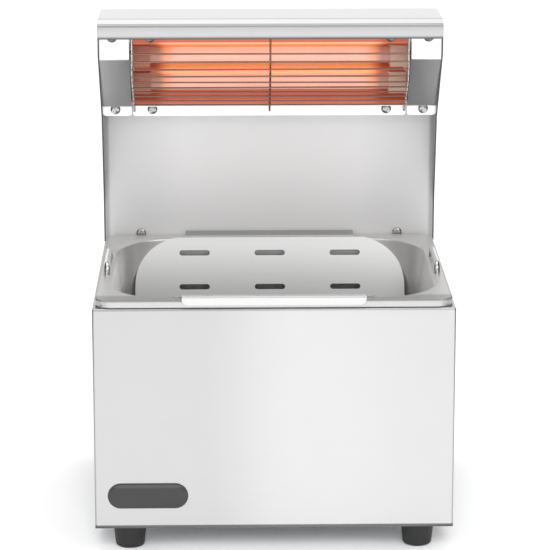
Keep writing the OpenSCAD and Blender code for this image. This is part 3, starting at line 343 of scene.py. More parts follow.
steelTable = {  # dark and light tone, roughness, grain, then lines, waves, shade and metal if not usual
    "case": (0.635, 0.685, 0.34, 0, 520.0, 0.35, caseShade),
    "side": (0.66, (0.75, 0.75, 0.74), 0.33, 1),
    "panel": (0.94, 0.98, 0.42, 0, 520.0, 0.35, panelShade, 0.12),
    "hood": (0.92, 0.98, 0.30, 0, 520.0, 0.35, hoodShade),
    "shoulder": (0.86, 0.92, 0.30, 0, 520.0, 0.35, shoulderShade),
    "shadedCutEdge": (0.10, 0.16, 0.45, 2, 900.0),
    "pan": (0.84, (0.92, 0.92, 0.91), 0.36, 0, 420.0, 0.1, panShade, 0.75),
    "panShadedOutside": (0.56, 0.66, 0.38, 0, 420.0),
    "liner": (0.78, (0.86, 0.86, 0.85), 0.30, 0, 420.0, 0.1, linerShade),
    "handle": (0.70, (0.86, 0.86, 0.85), 0.18, 0, 900.0),
    "guard": ((0.38, 0.19, 0.14), (0.52, 0.30, 0.24), 0.12, 0, 900.0),
    "upright": ((0.62, 0.57, 0.55), (0.76, 0.72, 0.70), 0.26, 2, 900.0),
    "middle": ((0.26, 0.10, 0.08), (0.38, 0.17, 0.13), 0.30, 2, 900.0),
    "screw": (0.46, (0.66, 0.66, 0.65), 0.22, 0, 1400.0),
    "shadedScrew": ((0.16, 0.15, 0.15), (0.28, 0.26, 0.26), 0.30, 0, 1400.0),
    "plainFolded": ((0.50, 0.51, 0.52), (0.64, 0.65, 0.66), 0.42, 0, 260.0),
}
steels = {name: steelFinish(name + "Steel", *row) for name, row in steelTable.items()}
finishes = {
    "reflector": reflectorFinish(troughTones),
    "upperQuartz": quartzFinish("upperQuartz", (0.62, 0.27, 0.19), (0.80, 0.42, 0.32)),
    "lowerQuartz": quartzFinish("lowerQuartz", (0.60, 0.24, 0.16), (0.80, 0.40, 0.29)),
    "ceramic": ceramicFinish(),
    "badge": badgeFinish(),
    "glowingWire": plainFinish("glowingWire", (0.85, 0.25, 0.06), (1.0, 0.45, 0.14), 0.5, 300.0,
                               Emission_Color=(1.0, 0.30, 0.08, 1), Emission_Strength=1.2),
    "plainBrass": plainFinish("plainBrass", (0.60, 0.44, 0.18), (0.80, 0.62, 0.30), 0.32, 120.0, 0.1,
                              Metallic=1.0),
}
plainTable = {  # dark and light tone, roughness, scale, and grit if not usual
    "ceramicBlock": ((0.70, 0.68, 0.62), (0.84, 0.82, 0.76), 0.5, 60.0),
    "footRubber": (0.012, 0.028, 0.55, 90.0),
    "blackPlastic": ((0.014, 0.014, 0.015), (0.034, 0.034, 0.036), 0.42, 220.0),
    "rockerPlastic": ((0.018, 0.018, 0.020), (0.036, 0.036, 0.038), 0.24, 160.0, 0.08),
    "leadSheath": ((0.016, 0.016, 0.017), (0.034, 0.034, 0.035), 0.48, 140.0),
    "fibreSleeve": ((0.70, 0.68, 0.60), (0.88, 0.86, 0.80), 0.8, 500.0, 0.5),
}
finishes.update({name: plainFinish(name, *row) for name, row in plainTable.items()})
print("stage: finishes made")


# mesh helpers

mergeGaps = {"node": 0.002 * mm, "loft": 0.001 * mm, "flat": math.radians(0.6)}


def newObject(name, data):
    made = bpy.data.objects.new(name, data)
    bpy.context.scene.collection.objects.link(made)
    return made


def addPiece(name, mesh, finish, body, replaced, smooth=32):
    piece = newObject(name, mesh)
    mesh.materials.clear()
    mesh.materials.append(finish)
    smoothByAngle(mesh, smooth)
    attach(piece, body)
    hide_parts(*replaced)
    return piece


def smoothByAngle(mesh, angle):
    mesh.shade_smooth()
    shape = bmesh.new()
    shape.from_mesh(mesh)
    limit = math.radians(angle)
    for edge in shape.edges:
        edge.smooth = len(edge.link_faces) == 2 and edge.calc_face_angle() < limit
    shape.to_mesh(mesh)
    shape.free()


def weighNormals(piece):
    piece.modifiers.new("normals", "WEIGHTED_NORMAL").keep_sharp = True


def roundEdges(piece, width, segments=2, angle=32):
    bevel = piece.modifiers.new("edges", "BEVEL")
    bevel.width = width
    bevel.segments = segments
    bevel.limit_method = "ANGLE"
    bevel.angle_limit = math.radians(angle)
    bevel.harden_normals = True
    weighNormals(piece)


def nodeCopy(*nodes):
    # one merged mesh of some CAD nodes, with flat areas joined again
    shape = bmesh.new()
    for node in nodes:
        shape.from_mesh(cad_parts[node].data)
    bmesh.ops.remove_doubles(shape, verts=shape.verts, dist=mergeGaps["node"])
    bmesh.ops.dissolve_limit(shape, angle_limit=mergeGaps["flat"], verts=shape.verts, edges=shape.edges)
    mesh = bpy.data.meshes.new(nodes[0])
    shape.to_mesh(mesh)
    shape.free()
    return mesh


def meshOf(name, points, faces):
    mesh = bpy.data.meshes.new(name)
    mesh.from_pydata([Vector(p) for p in points], [], faces)
    shape = bmesh.new()
    shape.from_mesh(mesh)
    bmesh.ops.remove_doubles(shape, verts=shape.verts, dist=mergeGaps["loft"])
    bmesh.ops.recalc_face_normals(shape, faces=shape.faces)
    shape.to_mesh(mesh)
    shape.free()
    return mesh


def loftRings(name, rings):
    # quads between rings of equal length; the first and last ring are capped
    count = len(rings[0])
    points = [p for ring in rings for p in ring]
    last = len(points) - count
    faces = []
    for r in range(0, last, count):
        for i in range(count):
            j = (i + 1) % count
            faces.append((r + i, r + j, r + count + j, r + count + i))
    faces.append(tuple(range(count)))
    faces.append(tuple(range(last, last + count)))
    return meshOf(name, points, faces)


def lathe(name, profile, centre, axis="Z", segments=48):
    rings = []
    for radius, along in profile:
        ring = []
        for i in range(segments):
            a = 2 * math.pi * i / segments
            u, v = max(radius, 0.01 * mm) * math.cos(a), max(radius, 0.01 * mm) * math.sin(a)
            offset = (along, u, v) if axis == "X" else (u, v, along)
            ring.append(Vector(centre) + Vector(offset))
        rings.append(ring)
    return loftRings(name, rings)


def sinCos(degrees):
    return math.sin(math.radians(degrees)), math.cos(math.radians(degrees))


def arc(centre, radius, start, end, steps):
    turns = [sinCos(start + (end - start) * i / steps) for i in range(steps + 1)]
    return [(centre[0] + radius * c, centre[1] + radius * s) for s, c in turns]


def roundedLoop(halfW, halfD, radius, z, centreY, steps=10):
    loop = []
    for sx, sy, start in ((1, 1, 0), (-1, 1, 90), (-1, -1, 180), (1, -1, 270)):
        corner = (sx * (halfW - radius), centreY + sy * (halfD - radius))
        loop += [Vector((x, y, z)) for x, y in arc(corner, radius, start, start + 90, steps)]
    return loop


# geometry node helpers

class Tree:
    def __init__(self, name):
        self.group = bpy.data.node_groups.new(name, "GeometryNodeTree")
        self.group.interface.new_socket("Geometry", in_out="INPUT", socket_type="NodeSocketGeometry")
        self.group.interface.new_socket("Geometry", in_out="OUTPUT", socket_type="NodeSocketGeometry")
        self.entry = self.group.nodes.new("NodeGroupInput")
        self.exit = self.group.nodes.new("NodeGroupOutput")
        self.named = {}

    def ask(self, name, kind):
        socket = self.group.interface.new_socket(name, in_out="INPUT", socket_type="NodeSocket" + kind)
        self.named[name] = socket.identifier
        return self.entry.outputs[name]

    def node(self, kind, inputs=None, settings=None):
        return addNode(self.group, kind if "Node" in kind else "GeometryNode" + kind, inputs, settings)

    def end(self, geometry, finish):
        real = self.node("RealizeInstances", {"Geometry": geometry})
        worn = self.node("SetMaterial", {
            "Geometry": real.outputs[0], "Material": finish})
        self.group.links.new(worn.outputs[0], self.exit.inputs[0])


def bakedMesh(thing):
    bpy.context.view_layer.update()
    return bpy.data.meshes.new_from_object(thing.evaluated_get(bpy.context.evaluated_depsgraph_get()))


def growMesh(name, tree, base, **values):
    # evaluates a tree on a base mesh and gives the plain result
    carrier = newObject(name, base)
    modifier = carrier.modifiers.new("grow", "NODES")
    modifier.node_group = tree.group
    for key, value in values.items():
        modifier[tree.named[key]] = value
    carrier.update_tag()
    mesh = bakedMesh(carrier)
    carrier.modifiers.remove(modifier)
    bpy.data.objects.remove(carrier)
    mesh.name = name
    return mesh


# camera first, then light and floor

cameraView = {"place": (-0.04361, -2.4517, 0.83545), "pitch": 0.24263, "yaw": 0.01922, "lens": 172.41,
              "sensor": 36, "near": 0.05, "far": 60}


def makeCamera(view):
    data = bpy.data.cameras.new("photoCamera")
    data.lens = view["lens"]
    data.sensor_width = view["sensor"]
    data.clip_start, data.clip_end = view["near"], view["far"]
    camera = newObject("photoCamera", data)
    camera.location = view["place"]
    camera.rotation_euler = (math.pi / 2 - view["pitch"], 0, -view["yaw"])
    bpy.context.scene.camera = camera


makeCamera(cameraView)

studio = {
    "world": 1.0, "floor": (0.93, 0.93, 0.935), "floorHalf": 14, "glow": 0.01,
    "sweep": {"height": 33, "soft": 22, "energy": 2.2},     # a low front light for the floor alone
    # brightness of the surroundings from the rear horizon over the top to the front horizon
    "dome": [(0.0, 1.0), (0.11, 1.0), (0.20, 0.60), (0.27, 0.66), (0.36, 0.90), (0.55, 1.0), (0.66, 0.66),
             (0.74, 0.94), (0.86, 0.74), (1.0, 0.62)],
    "lamps": [  # name, place, aim, width, height, watts
        ("keySoftbox", (1.5, -1.8, 2.1), (0, 0, 0.2), 1.5, 1.1, 11),
        ("fillSoftbox", (-1.9, -1.5, 1.6), (0, 0, 0.2), 1.3, 1.1, 6),
        ("topSoftbox", (0.1, 0.5, 2.6), (0, 0, 0.2), 1.8, 1.2, 7),
    ],
    "flags": {"x": 0.85, "front": -0.75, "rear": 1.1, "foot": 0.002, "top": 1.3},
}


def makeWorld(setup):
    world = bpy.data.worlds.new("studioWorld")
    world.use_nodes = True
    tree = world.node_tree
    split = addNode(tree, "ShaderNodeSeparateXYZ", {
        0: addNode(tree, "ShaderNodeTexCoord").outputs["Generated"]})
    y, z = Wire(tree, split.outputs[1]), Wire(tree, split.outputs[2])
    turn = z.math("MAXIMUM", 0.0).math("ARCTAN2", y) * (1 / math.pi)
    ramp = addNode(tree, "ShaderNodeValToRGB", {0: turn})
    stops = ramp.color_ramp.elements
    while len(stops) < len(setup["dome"]):
        stops.new(0.5)
    for element, (at, tone) in zip(stops, setup["dome"]):
        element.position = at
        element.color = colourOf(tone)
    tree.links.new(ramp.outputs[0], tree.nodes["Background"].inputs["Color"])
    tree.nodes["Background"].inputs["Strength"].default_value = setup["world"]
    bpy.context.scene.world = world


def makeStudio(setup):
    bpy.context.scene.view_settings.view_transform = "Standard"
    makeWorld(setup)
    for name, place, aim, width, height, watts in setup["lamps"]:
        light = bpy.data.lights.new(name, "AREA")
        light.shape = "RECTANGLE"
        light.size, light.size_y, light.energy = width, height, watts
        lamp = newObject(name, light)
        lamp.location = place
        lamp.rotation_euler = (Vector(aim) - Vector(place)).to_track_quat("-Z", "Y").to_euler()
    finish = Finish("studioFloor", Roughness=0.7, Emission_Color=(1, 1, 1, 1),
                    Emission_Strength=setup["glow"])
    tone = setup["floor"]
    finish.feed("Base Color", finish.blend(finish.noise(0.6), tone, tuple(t * 1.01 for t in tone)))
    h = setup["floorHalf"]
    mesh = meshOf("floor", [(-h, -h, 0), (h, -h, 0), (h, h, 0), (-h, h, 0)], [(0, 1, 2, 3)])
    mesh.materials.append(finish.material)
    floor = newObject("floor", mesh)
    sweep = newObject("floorSweep", bpy.data.lights.new("floorSweep", "SUN"))
    sweep.data.energy, sweep.data.angle = setup["sweep"]["energy"], math.radians(setup["sweep"]["soft"])
    sweep.rotation_euler = (math.radians(90 - setup["sweep"]["height"]), 0, 0)
    lit = bpy.data.collections.new("floorAlone")
    lit.objects.link(floor)
    sweep.light_linking.receiver_collection = lit
    # dark flags beside the set, which only reflections show
    flag = setup["flags"]
    cloth = plainFinish("flagCloth", 0.02, 0.04, 0.95, 8.0)
    for name, side in (("flagLeft", -1), ("flagRight", 1)):
        x, a, b = side * flag["x"], flag["front"], flag["rear"]
        foot, top = flag["foot"], flag["top"]
        mesh = meshOf("flag", [(x, a, foot), (x, b, foot), (x, b, top), (x, a, top)], [(0, 1, 2, 3)])
        mesh.materials.append(cloth)
        panel = newObject(name, mesh)
        panel.visible_camera = panel.visible_diffuse = False
        panel.visible_shadow = panel.visible_transmission = False


makeStudio(studio)
print("stage: camera and studio made")


# case

caseShape = {"sheet": 1.2 * mm, "edge": 2.2 * mm, "flange": 14 * mm, "panRim": 12.5 * mm, "panWall": 1 * mm,
             "gap": 2 * mm, "mouthR": 59 * mm, "mouthSteps": 12}


def makeCase(shape):
    x0, y0, z0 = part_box("case_base_flange")[0]
    x1, y1, z1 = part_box("case_deck")[1]
    panLow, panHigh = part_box("pan")
    halfW = (panHigh.x - panLow.x) / 2 - shape["panRim"] + shape["panWall"] + shape["gap"]
    halfD = (panHigh.y - panLow.y) / 2 - shape["panRim"] + shape["panWall"] + shape["gap"]
    mouth = roundedLoop(halfW, halfD, shape["mouthR"], z1, (panLow.y + panHigh.y) / 2, shape["mouthSteps"])
    form = bmesh.new()
    corners = [form.verts.new((x, y, z)) for x in (x0, x1) for y in (y0, y1) for z in (z0, z1)]
    walls = [form.faces.new([corners[k] for k in face]) for face in (
        (0, 4, 5, 1), (2, 0, 1, 3), (4, 6, 7, 5), (2, 6, 4, 0), (6, 2, 3, 7), (1, 5, 7, 3))]
    for face in walls[3:5]:  # the base and the rear, open inside a flange
        bmesh.ops.inset_individual(form, faces=[face], thickness=shape["flange"])
        form.faces.remove(face)
    sharp = [e for e in form.edges if len(e.link_faces) == 2 and e.calc_face_angle() > 1 and
             not all(abs(v.co.y - y1) < mergeGaps["loft"] for v in e.verts)]
    bmesh.ops.bevel(form, geom=sharp, offset=shape["edge"], segments=4, profile=0.5, affect="EDGES")
    # the deck face is remade round the pan's mouth
    deck = max(form.faces, key=lambda f: f.calc_center_median().z + f.calc_area())
    outer = list(deck.edges)
    form.faces.remove(deck)
    ring = [form.verts.new(p) for p in mouth]
    inner = [form.edges.new((ring[i], ring[(i + 1) % len(ring)])) for i in range(len(ring))]
    bmesh.ops.triangle_fill(form, edges=outer + inner, use_beauty=True, normal=(0, 0, 1))
    bmesh.ops.recalc_face_normals(form, faces=form.faces)
    deckFaces = [f for f in form.faces if f.calc_center_median().z > z1 - 0.01 * mm]
    if sum(f.normal.z for f in deckFaces) < 0:
        bmesh.ops.reverse_faces(form, faces=form.faces)
    # bevel leaves its parts in no fixed order
    order = Vector((1.0, 2.7, 7.3))
    form.verts.sort(key=lambda v: v.co.dot(order))
    form.faces.sort(key=lambda f: f.calc_center_median().dot(order))
    mesh = bpy.data.meshes.new("caseBody")
    form.to_mesh(mesh)
    form.free()
    piece = addPiece("caseBody", mesh, steels["case"], "warmer", (
        "case_front", "case_side_left", "case_side_right", "case_deck", "case_base_flange",
        "case_back_flange"), smooth=40)
    wall = piece.modifiers.new("sheet", "SOLIDIFY")
    wall.thickness = shape["sheet"]
    wall.offset = -1
    weighNormals(piece)


makeCase(caseShape)
print("stage: case made")


# folded sheets that keep their CAD form, with softened edges

sheetPieces = [  # finish, slot, edge in mm, then each node with its piece
    ("side", "brushed_case", 0.25, {"back_cover": "backCover"}),
    ("side", "brushed_case", 0.3, {"side_plate_left": "sidePlateLeft", "side_plate_right": "sidePlateRight"}),
    ("panel", "brushed_case", 0.3, {"column_panel": "columnPanel"}),
    ("hood", "brushed_case", 0.3, {"hood": "hoodSheet"}),
    ("shoulder", "brushed_case", 0.3, {"shoulder_left": "shoulderLeft", "shoulder_right": "shoulderRight"}),
    ("reflector", "bright_reflector", 0.3, {"reflector": "reflectorTrough"}),
    ("reflector", "bright_reflector", 0.2, {
        "reflector_end_left": "reflectorEndLeft", "reflector_end_right": "reflectorEndRight"}),
    ("plainFolded", "galvanised", 0.2, {
        "head_rail": "headRail", "panel_foot_bracket": "footBracket", "base_plate": "basePlate"}),
    ("ceramic", "ceramic_white", 0.8, {"lamp_caps_upper": "upperCaps", "lamp_caps_lower": "lowerCaps"}),
    ("ceramicBlock", "ceramic_white", 0.6, {"terminal_block": "terminalBlock"}),
    ("blackPlastic", "black_plastic", 0.5, {"switch_housing": "switchHousing", "mains_inlet": "mainsInlet"}),
]


def darkenFront(mesh):
    # the edge that faces the front takes a dark steel: a cut edge, darkened with painted shade
    mesh.materials.append(steels["shadedCutEdge"])
    for face in mesh.polygons:
        if face.normal.y < -0.25:
            face.material_index = 1


def roundCorners(mesh, radius, near):
    # rounds the two lower corners of a screw flange, seen from the front
    shape = bmesh.new()
    shape.from_mesh(mesh)
    lowZ = min(v.co.z for v in shape.verts)
    ends = (min(v.co.x for v in shape.verts), max(v.co.x for v in shape.verts))
    picked = []
    for edge in shape.edges:
        a, b = (v.co for v in edge.verts)
        low = max(a.z, b.z) < lowZ + near and abs(a.x - b.x) < near
        if low and min(abs(a.x - ends[0]), abs(a.x - ends[1])) < near:
            picked.append(edge)
    bmesh.ops.bevel(shape, geom=picked, offset=radius, segments=5, profile=0.5, affect="EDGES")
    shape.to_mesh(mesh)
    shape.free()


def dullBack(mesh):
    # the outside of the trough takes plain steel, without the painted glow
    mesh.materials.append(steels["plainFolded"])
    middle = headTop - 60 * mm
    for face in mesh.polygons:
        away = face.normal
        if away.y > 0.05 or (away.y > -0.05 and away.z > 0 and face.center.z > middle):
            face.material_index = 1


def makeSheets(table):
    for finish, slot, edge, pieces in table:
        for node, name in pieces.items():
            mesh = nodeCopy(node)
            if node in ("reflector", "shoulder_left", "shoulder_right"):
                roundCorners(mesh, 3 * mm, 0.1 * mm)
            piece = addPiece(name, mesh, steels.get(finish) or finishes[finish], "warmer", (node,))
            piece.visible_glossy = finish not in ("reflector", "ceramic")
            if node == "reflector":
                dullBack(mesh)
            if node.startswith("side_plate"):
                darkenFront(mesh)
            roundEdges(piece, edge * mm)
    rocker = addPiece("rockerCap", nodeCopy("switch_rocker"), finishes["rockerPlastic"], "rocker",
                      ("switch_rocker",))
    roundEdges(rocker, 0.6 * mm, 3)


makeSheets(sheetPieces)
print("stage: folded sheets made")


# pan and liner

panShape = {
    "wall": 1.0 * mm, "rim": 12.5 * mm, "lip": 7 * mm, "mouthR": 56 * mm, "rimR": 15 * mm, "bend": 3.0 * mm,
    "draw": 12 * mm, "baseR": 18 * mm, "floorR": 25 * mm, "footR": 26 * mm, "lowR": 44 * mm, "edge": 1.6 * mm,
    "softEdge": 0.3 * mm, "backTop": 8 * mm, "taper": 0.94, "tuck": 0.25, "outerBend": 0.2, "spread": 0.6,
    "steps": 14,
}


def makePan(shape):
    low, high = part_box("pan")
    cy = (low.y + high.y) / 2
    w, d = (high.x - low.x) / 2, (high.y - low.y) / 2
    top, base = high.z, low.z
    t, bend, edge, soft = shape["wall"], shape["bend"], shape["edge"], shape["softEdge"]
    rimR, mouthR = shape["rimR"], shape["mouthR"]

    def ring(inset, radius, z, share=1.0):
        return roundedLoop((w - inset) * share, (d - inset) * share, radius, z, cy, shape["steps"])

    def wallLoops(grow, floorZ):
        # from the centre of the floor up the wall to the flange; grow is 0 inside and the wall outside
        flat = shape["rim"] + shape["draw"] + shape["baseR"]
        foot = shape["baseR"] + grow
        loops = [ring(flat, max(1 * mm, shape["floorR"] * share), floorZ, share) for share in (0.02, 0.5)]
        for a in range(0, 91, 10):
            s, c = sinCos(a)
            loops.append(ring(flat - foot * s, shape["footR"] + foot * s, floorZ + foot * (1 - c)))
        z0, z1 = floorZ + foot, top - bend - grow
        tuck = bend * shape["tuck"]
        for i in range(1, 7):
            share = i / 6
            drawn = shape["draw"] * (1 - share) * shape["taper"]
            radius = shape["lowR"] * (1 - share) + mouthR * share + grow
            loops.append(ring(shape["rim"] + drawn - grow + tuck * share, radius, z0 + (z1 - z0) * share))
        r = bend - grow * shape["outerBend"]
        for a in range(20, 91, 14):
            s, c = sinCos(a)
            out = (1 - c) * r
            radius = mouthR + grow + out * shape["spread"]
            loops.append(ring(shape["rim"] - grow - out + tuck * c, radius, z1 + s * r))
        return loops

    rim = []
    for share in (0.25, 0.6):
        inset = (shape["rim"] - bend) * (1 - share) + edge * share
        rim.append(ring(inset, mouthR + (rimR - mouthR) * share ** 0.7, top))
    for a in range(0, 91, 15):
        s, c = sinCos(a)
        rim.append(ring(edge - edge * s, rimR - edge + edge * s, top - edge + edge * c))
    lipZ = top - shape["lip"]
    rim += [ring(0, rimR, lipZ + soft), ring(soft, rimR, lipZ), ring(t, rimR - t, lipZ),
            ring(t, rimR - t, top - edge), ring(edge, rimR - edge, top - t)]
    mesh = loftRings("cateringPan", wallLoops(0, base + t) + rim + wallLoops(t, base)[::-1])
    piece = addPiece("cateringPan", mesh, steels["pan"], "pan", ("pan",), smooth=50)
    # painted shade: the outer walls below the rim take a darker copy of the pan's steel
    mesh.materials.append(steels["panShadedOutside"])
    for face in mesh.polygons:
        spot, away = face.center, face.normal
        outward = spot.x * away.x + (spot.y - cy) * away.y - abs(away.z) * away.z * 0.05
        if spot.z < top - shape["backTop"] and outward > 0:
            face.material_index = 1
    weighNormals(piece)
    guides = addPiece("handleGuides", nodeCopy("handle_guides"), steels["pan"], "pan",
                      ("handle_guides",))
    roundEdges(guides, 0.25 * mm)


makePan(panShape)
liner = addPiece("chipLiner", nodeCopy("chip_liner"), steels["liner"], "liner",
                 ("chip_liner",), smooth=24)
roundEdges(liner, 0.25 * mm, 2, 40)
print("stage: pan and liner made")


# wire work

handleShape = {"wire": 2.8 * mm, "corner": 6.5 * mm, "legRise": 20 * mm, "collarR": 3.55 * mm,
               "collarH": 2 * mm, "collarZ": 8.3 * mm, "collarEdge": 0.3 * mm}


def sweptWire(name, path, radius, sides=14):
    rings = []
    for i, point in enumerate(path):
        ahead = (path[min(i + 1, len(path) - 1)] - path[max(i - 1, 0)]).normalized()
        across = Vector((1, 0, 0)) if abs(ahead.x) < 0.9 else Vector((0, 1, 0))
        u = ahead.cross(across).normalized()
        v = ahead.cross(u).normalized()
        turns = [2 * math.pi * k / sides for k in range(sides)]
        rings.append([point + radius * (math.cos(a) * u + math.sin(a) * v) for a in turns])
    return loftRings(name, rings)


def joinMeshes(name, meshes):
    shape = bmesh.new()
    for mesh in meshes:
        shape.from_mesh(mesh)
    joined = bpy.data.meshes.new(name)
    shape.to_mesh(joined)
    shape.free()
    return joined


def makeHandle(name, node, body, shape):
    low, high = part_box(node)
    x = (low.x + high.x) / 2
    r, c, R, h = shape["wire"], shape["corner"], shape["collarR"], shape["collarH"]
    legY0, legY1 = low.y + R, high.y - R
    top, legTop, soft = high.z - r, low.z + shape["legRise"], shape["collarEdge"]
    path = [(legY0, low.z), (legY0, legTop)]
    path += arc((legY0 + c, top - c), c, 180, 90, 8) + arc((legY1 - c, top - c), c, 90, 0, 8)
    path += [(legY1, legTop), (legY1, low.z)]
    parts = [sweptWire(name, [Vector((x, y, z)) for y, z in path], r, 18)]
    profile = [(r * 0.96, 0), (R - soft, 0), (R, soft), (R, h - soft), (R - soft, h), (r * 0.96, h)]
    for y in (legY0, legY1):
        parts.append(lathe("collar", profile, (x, y, low.z + shape["collarZ"]), segments=24))
    addPiece(name, joinMeshes(name, parts), steels["handle"], body, (node,), smooth=45)


makeHandle("panHandleLeft", "pan_handle_left", "left_handle", handleShape)
makeHandle("panHandleRight", "pan_handle_right", "right_handle", handleShape)

guardShape = {"arcR": 60 * mm, "turn": 50.0, "first": 9 * mm, "pitch": 8.4 * mm, "count": 10,
              "wire": 0.8 * mm, "rib": 1.1 * mm, "middle": 0.95 * mm, "lead": 0.7 * mm, "footY": 248.5 * mm,
              "arcSteps": 20, "overhang": 1 * mm, "piece": 0.6 * mm, "tail": (2.5 * mm, 6 * mm),
              "tailDrop": 0.6 * mm}


def makeGuard(shape):
    low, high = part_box("wire_guard")
    ribX = (high.x - low.x) / 2 - shape["overhang"]
    y0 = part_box("reflector")[0].y - shape["rib"]
    turn = math.radians(shape["turn"])
    lowZ = low.z + shape["rib"] * math.sin(turn)
    lowY = frontY + shape["footY"]
    run = (lowY - y0 - shape["arcR"] * (1 - math.cos(turn))) / math.sin(turn)
    bendZ = lowZ + shape["arcR"] * math.sin(turn) + run * math.cos(turn)

    def sidePath(lead):
        # the bend and the straight end of an upright, seen from the side
        r, steps = shape["arcR"] + lead, shape["arcSteps"]
        bend = [turn * i / steps for i in range(steps + 1)]
        path = [(y0 + shape["arcR"] - r * math.cos(a), bendZ - r * math.sin(a)) for a in bend]
        y, z = path[-1]
        return path + [(y + run * math.sin(turn), z - run * math.cos(turn))]

    tree = Tree("guardTree")
    pitch, half, wire = [tree.ask(name, "Float") for name in ("Pitch", "Half width", "Wire radius")]
    curve = tree.node("MeshToCurve", {"Mesh": tree.entry.outputs[0]})
    spots = tree.node("CurveToPoints", {
        "Curve": curve.outputs[0], "Length": pitch}, {"mode": "LENGTH"})
    flip = tree.node("ShaderNodeMath", {0: half, 1: -1.0}, {"operation": "MULTIPLY"})
    start = tree.node("ShaderNodeCombineXYZ", {"X": flip.outputs[0]})
    stop = tree.node("ShaderNodeCombineXYZ", {"X": half})
    rod = tree.node("CurvePrimitiveLine", {"Start": start.outputs[0], "End": stop.outputs[0]})
    ring = tree.node("CurvePrimitiveCircle", {"Resolution": 12, "Radius": wire})
    solid = tree.node("CurveToMesh", {
        "Curve": rod.outputs[0], "Profile Curve": ring.outputs[0], "Fill Caps": True})
    sway = tree.node("FunctionNodeRandomValue", {
        0: (0.0, -0.002, -0.0015), 1: (0.0, 0.002, 0.0015), "Seed": 5}, {"data_type": "FLOAT_VECTOR"})
    laid = tree.node("InstanceOnPoints", {
        "Points": spots.outputs["Points"], "Instance": solid.outputs[0], "Rotation": sway.outputs[0]})
    tree.end(laid.outputs[0], steels["guard"])
    # the path on which the cross wires stand, cut to whole pitches
    fine, walked = [], 0.0
    line = sidePath(shape["lead"])
    last = shape["first"] + shape["pitch"] * (shape["count"] - 1)
    for (ay, az), (by, bz) in zip(line, line[1:]):
        length = math.hypot(by - ay, bz - az)
        steps = max(1, round(length / shape["piece"]))
        for i in range(steps):
            s = walked + length * i / steps
            if shape["first"] <= s <= last:
                fine.append((ay + (by - ay) * i / steps, az + (bz - az) * i / steps))
        walked += length
    base = bpy.data.meshes.new("guardPath")
    base.from_pydata([(0, y, z) for y, z in fine], [(i, i + 1) for i in range(len(fine) - 1)], [])
    total = sum(math.dist(a, b) for a, b in zip(fine, fine[1:]))
    parts = [growMesh("crossWires", tree, base, **{
        "Pitch": total / (shape["count"] - 1) * 0.9999, "Half width": ribX + shape["overhang"],
        "Wire radius": shape["wire"]})]
    for x, r in ((-ribX, shape["rib"]), (0, shape["middle"]), (ribX, shape["rib"])):
        path = [(y0, high.z)] + sidePath(0)
        endY, endZ = path[-1]
        if x:
            path += [(endY + further, endZ - shape["tailDrop"]) for further in shape["tail"]]
        parts.append(sweptWire("upright", [Vector((x, y, z)) for y, z in path], r))
    guard = addPiece("wireGuard", joinMeshes("wireGuard", parts), steels["guard"], "warmer",
                     ("wire_guard",), smooth=50)
    guard.data.materials.append(steels["upright"])
    guard.data.materials.append(steels["middle"])
    verts = guard.data.vertices
    for face in guard.data.polygons:
        if abs(face.center.x) > ribX - shape["rib"]:
            face.material_index = 1
        elif max(abs(verts[v].co.x) for v in face.vertices) < 2 * mm:
            face.material_index = 2


makeGuard(guardShape)
print("stage: wire work made")


# lamps

lampShape = {"tubeR": 7.75 * mm, "wall": 1.2 * mm, "soft": (0.2 * mm, 0.3 * mm), "spiralR": 2.4 * mm,
             "spiralWire": 0.45 * mm, "spiralGap": 1 * mm, "turns": 64.0}


def makeLamps(shape):
    tree = Tree("spiralTree")
    turns, radius, wire, length = [
        tree.ask(name, "Float") for name in ("Turns", "Spiral radius", "Wire radius", "Length")]
    coil = tree.node("CurveSpiral", {
        "Resolution": 10, "Rotations": turns, "Start Radius": radius, "End Radius": radius, "Height": length})
    ring = tree.node("CurvePrimitiveCircle", {"Resolution": 6, "Radius": wire})
    solid = tree.node("CurveToMesh", {
        "Curve": coil.outputs[0], "Profile Curve": ring.outputs[0], "Fill Caps": True})
    turned = tree.node("Transform", {
        "Geometry": solid.outputs[0], "Rotation": (0, math.pi / 2, 0)})
    tree.end(turned.outputs[0], finishes["glowingWire"])
    R, t, gap = shape["tubeR"], shape["wall"], shape["spiralGap"]
    inward, along = shape["soft"]
    for which in ("upper", "lower"):
        low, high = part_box("lamp_tube_" + which)
        cy, cz, half = (low.y + high.y) / 2, (low.z + high.z) / 2, (high.x - low.x) / 2
        profile = [(R - t, -half), (R - inward, -half), (R, -half + along), (R, half - along),
                   (R - inward, half), (R - t, half), (R - t, 0)]
        tube = lathe(which + "Tube", profile, (0, cy, cz), "X", 56)
        lamp = addPiece(which + "Tube", tube, finishes[which + "Quartz"], "warmer",
                        ("lamp_tube_" + which,), smooth=50)
        lamp.visible_glossy = False
        seed = bpy.data.meshes.new("seed")
        seed.from_pydata([(0, 0, 0)], [], [])
        spiral = growMesh(which + "Spiral", tree, seed, **{
            "Turns": shape["turns"], "Spiral radius": shape["spiralR"], "Wire radius": shape["spiralWire"],
            "Length": 2 * (half - gap)})
        for vert in spiral.vertices:
            vert.co += Vector((gap - half, cy, cz))
        coils = addPiece(which + "Spiral", spiral, finishes["glowingWire"], "warmer",
                         ("heating_spiral_" + which,), smooth=60)
        coils.visible_glossy = False


makeLamps(lampShape)
print("stage: lamps made")


# screws

screwShape = {"segments": 28, "sunk": 0.4 * mm, "shank": 0.55, "dome": 0.27, "brim": 0.22, "recess": 0.28,
              "slot": 0.055, "cut": ((0.4, 0.55), (1.3, 1.1)), "firstSeed": 3}


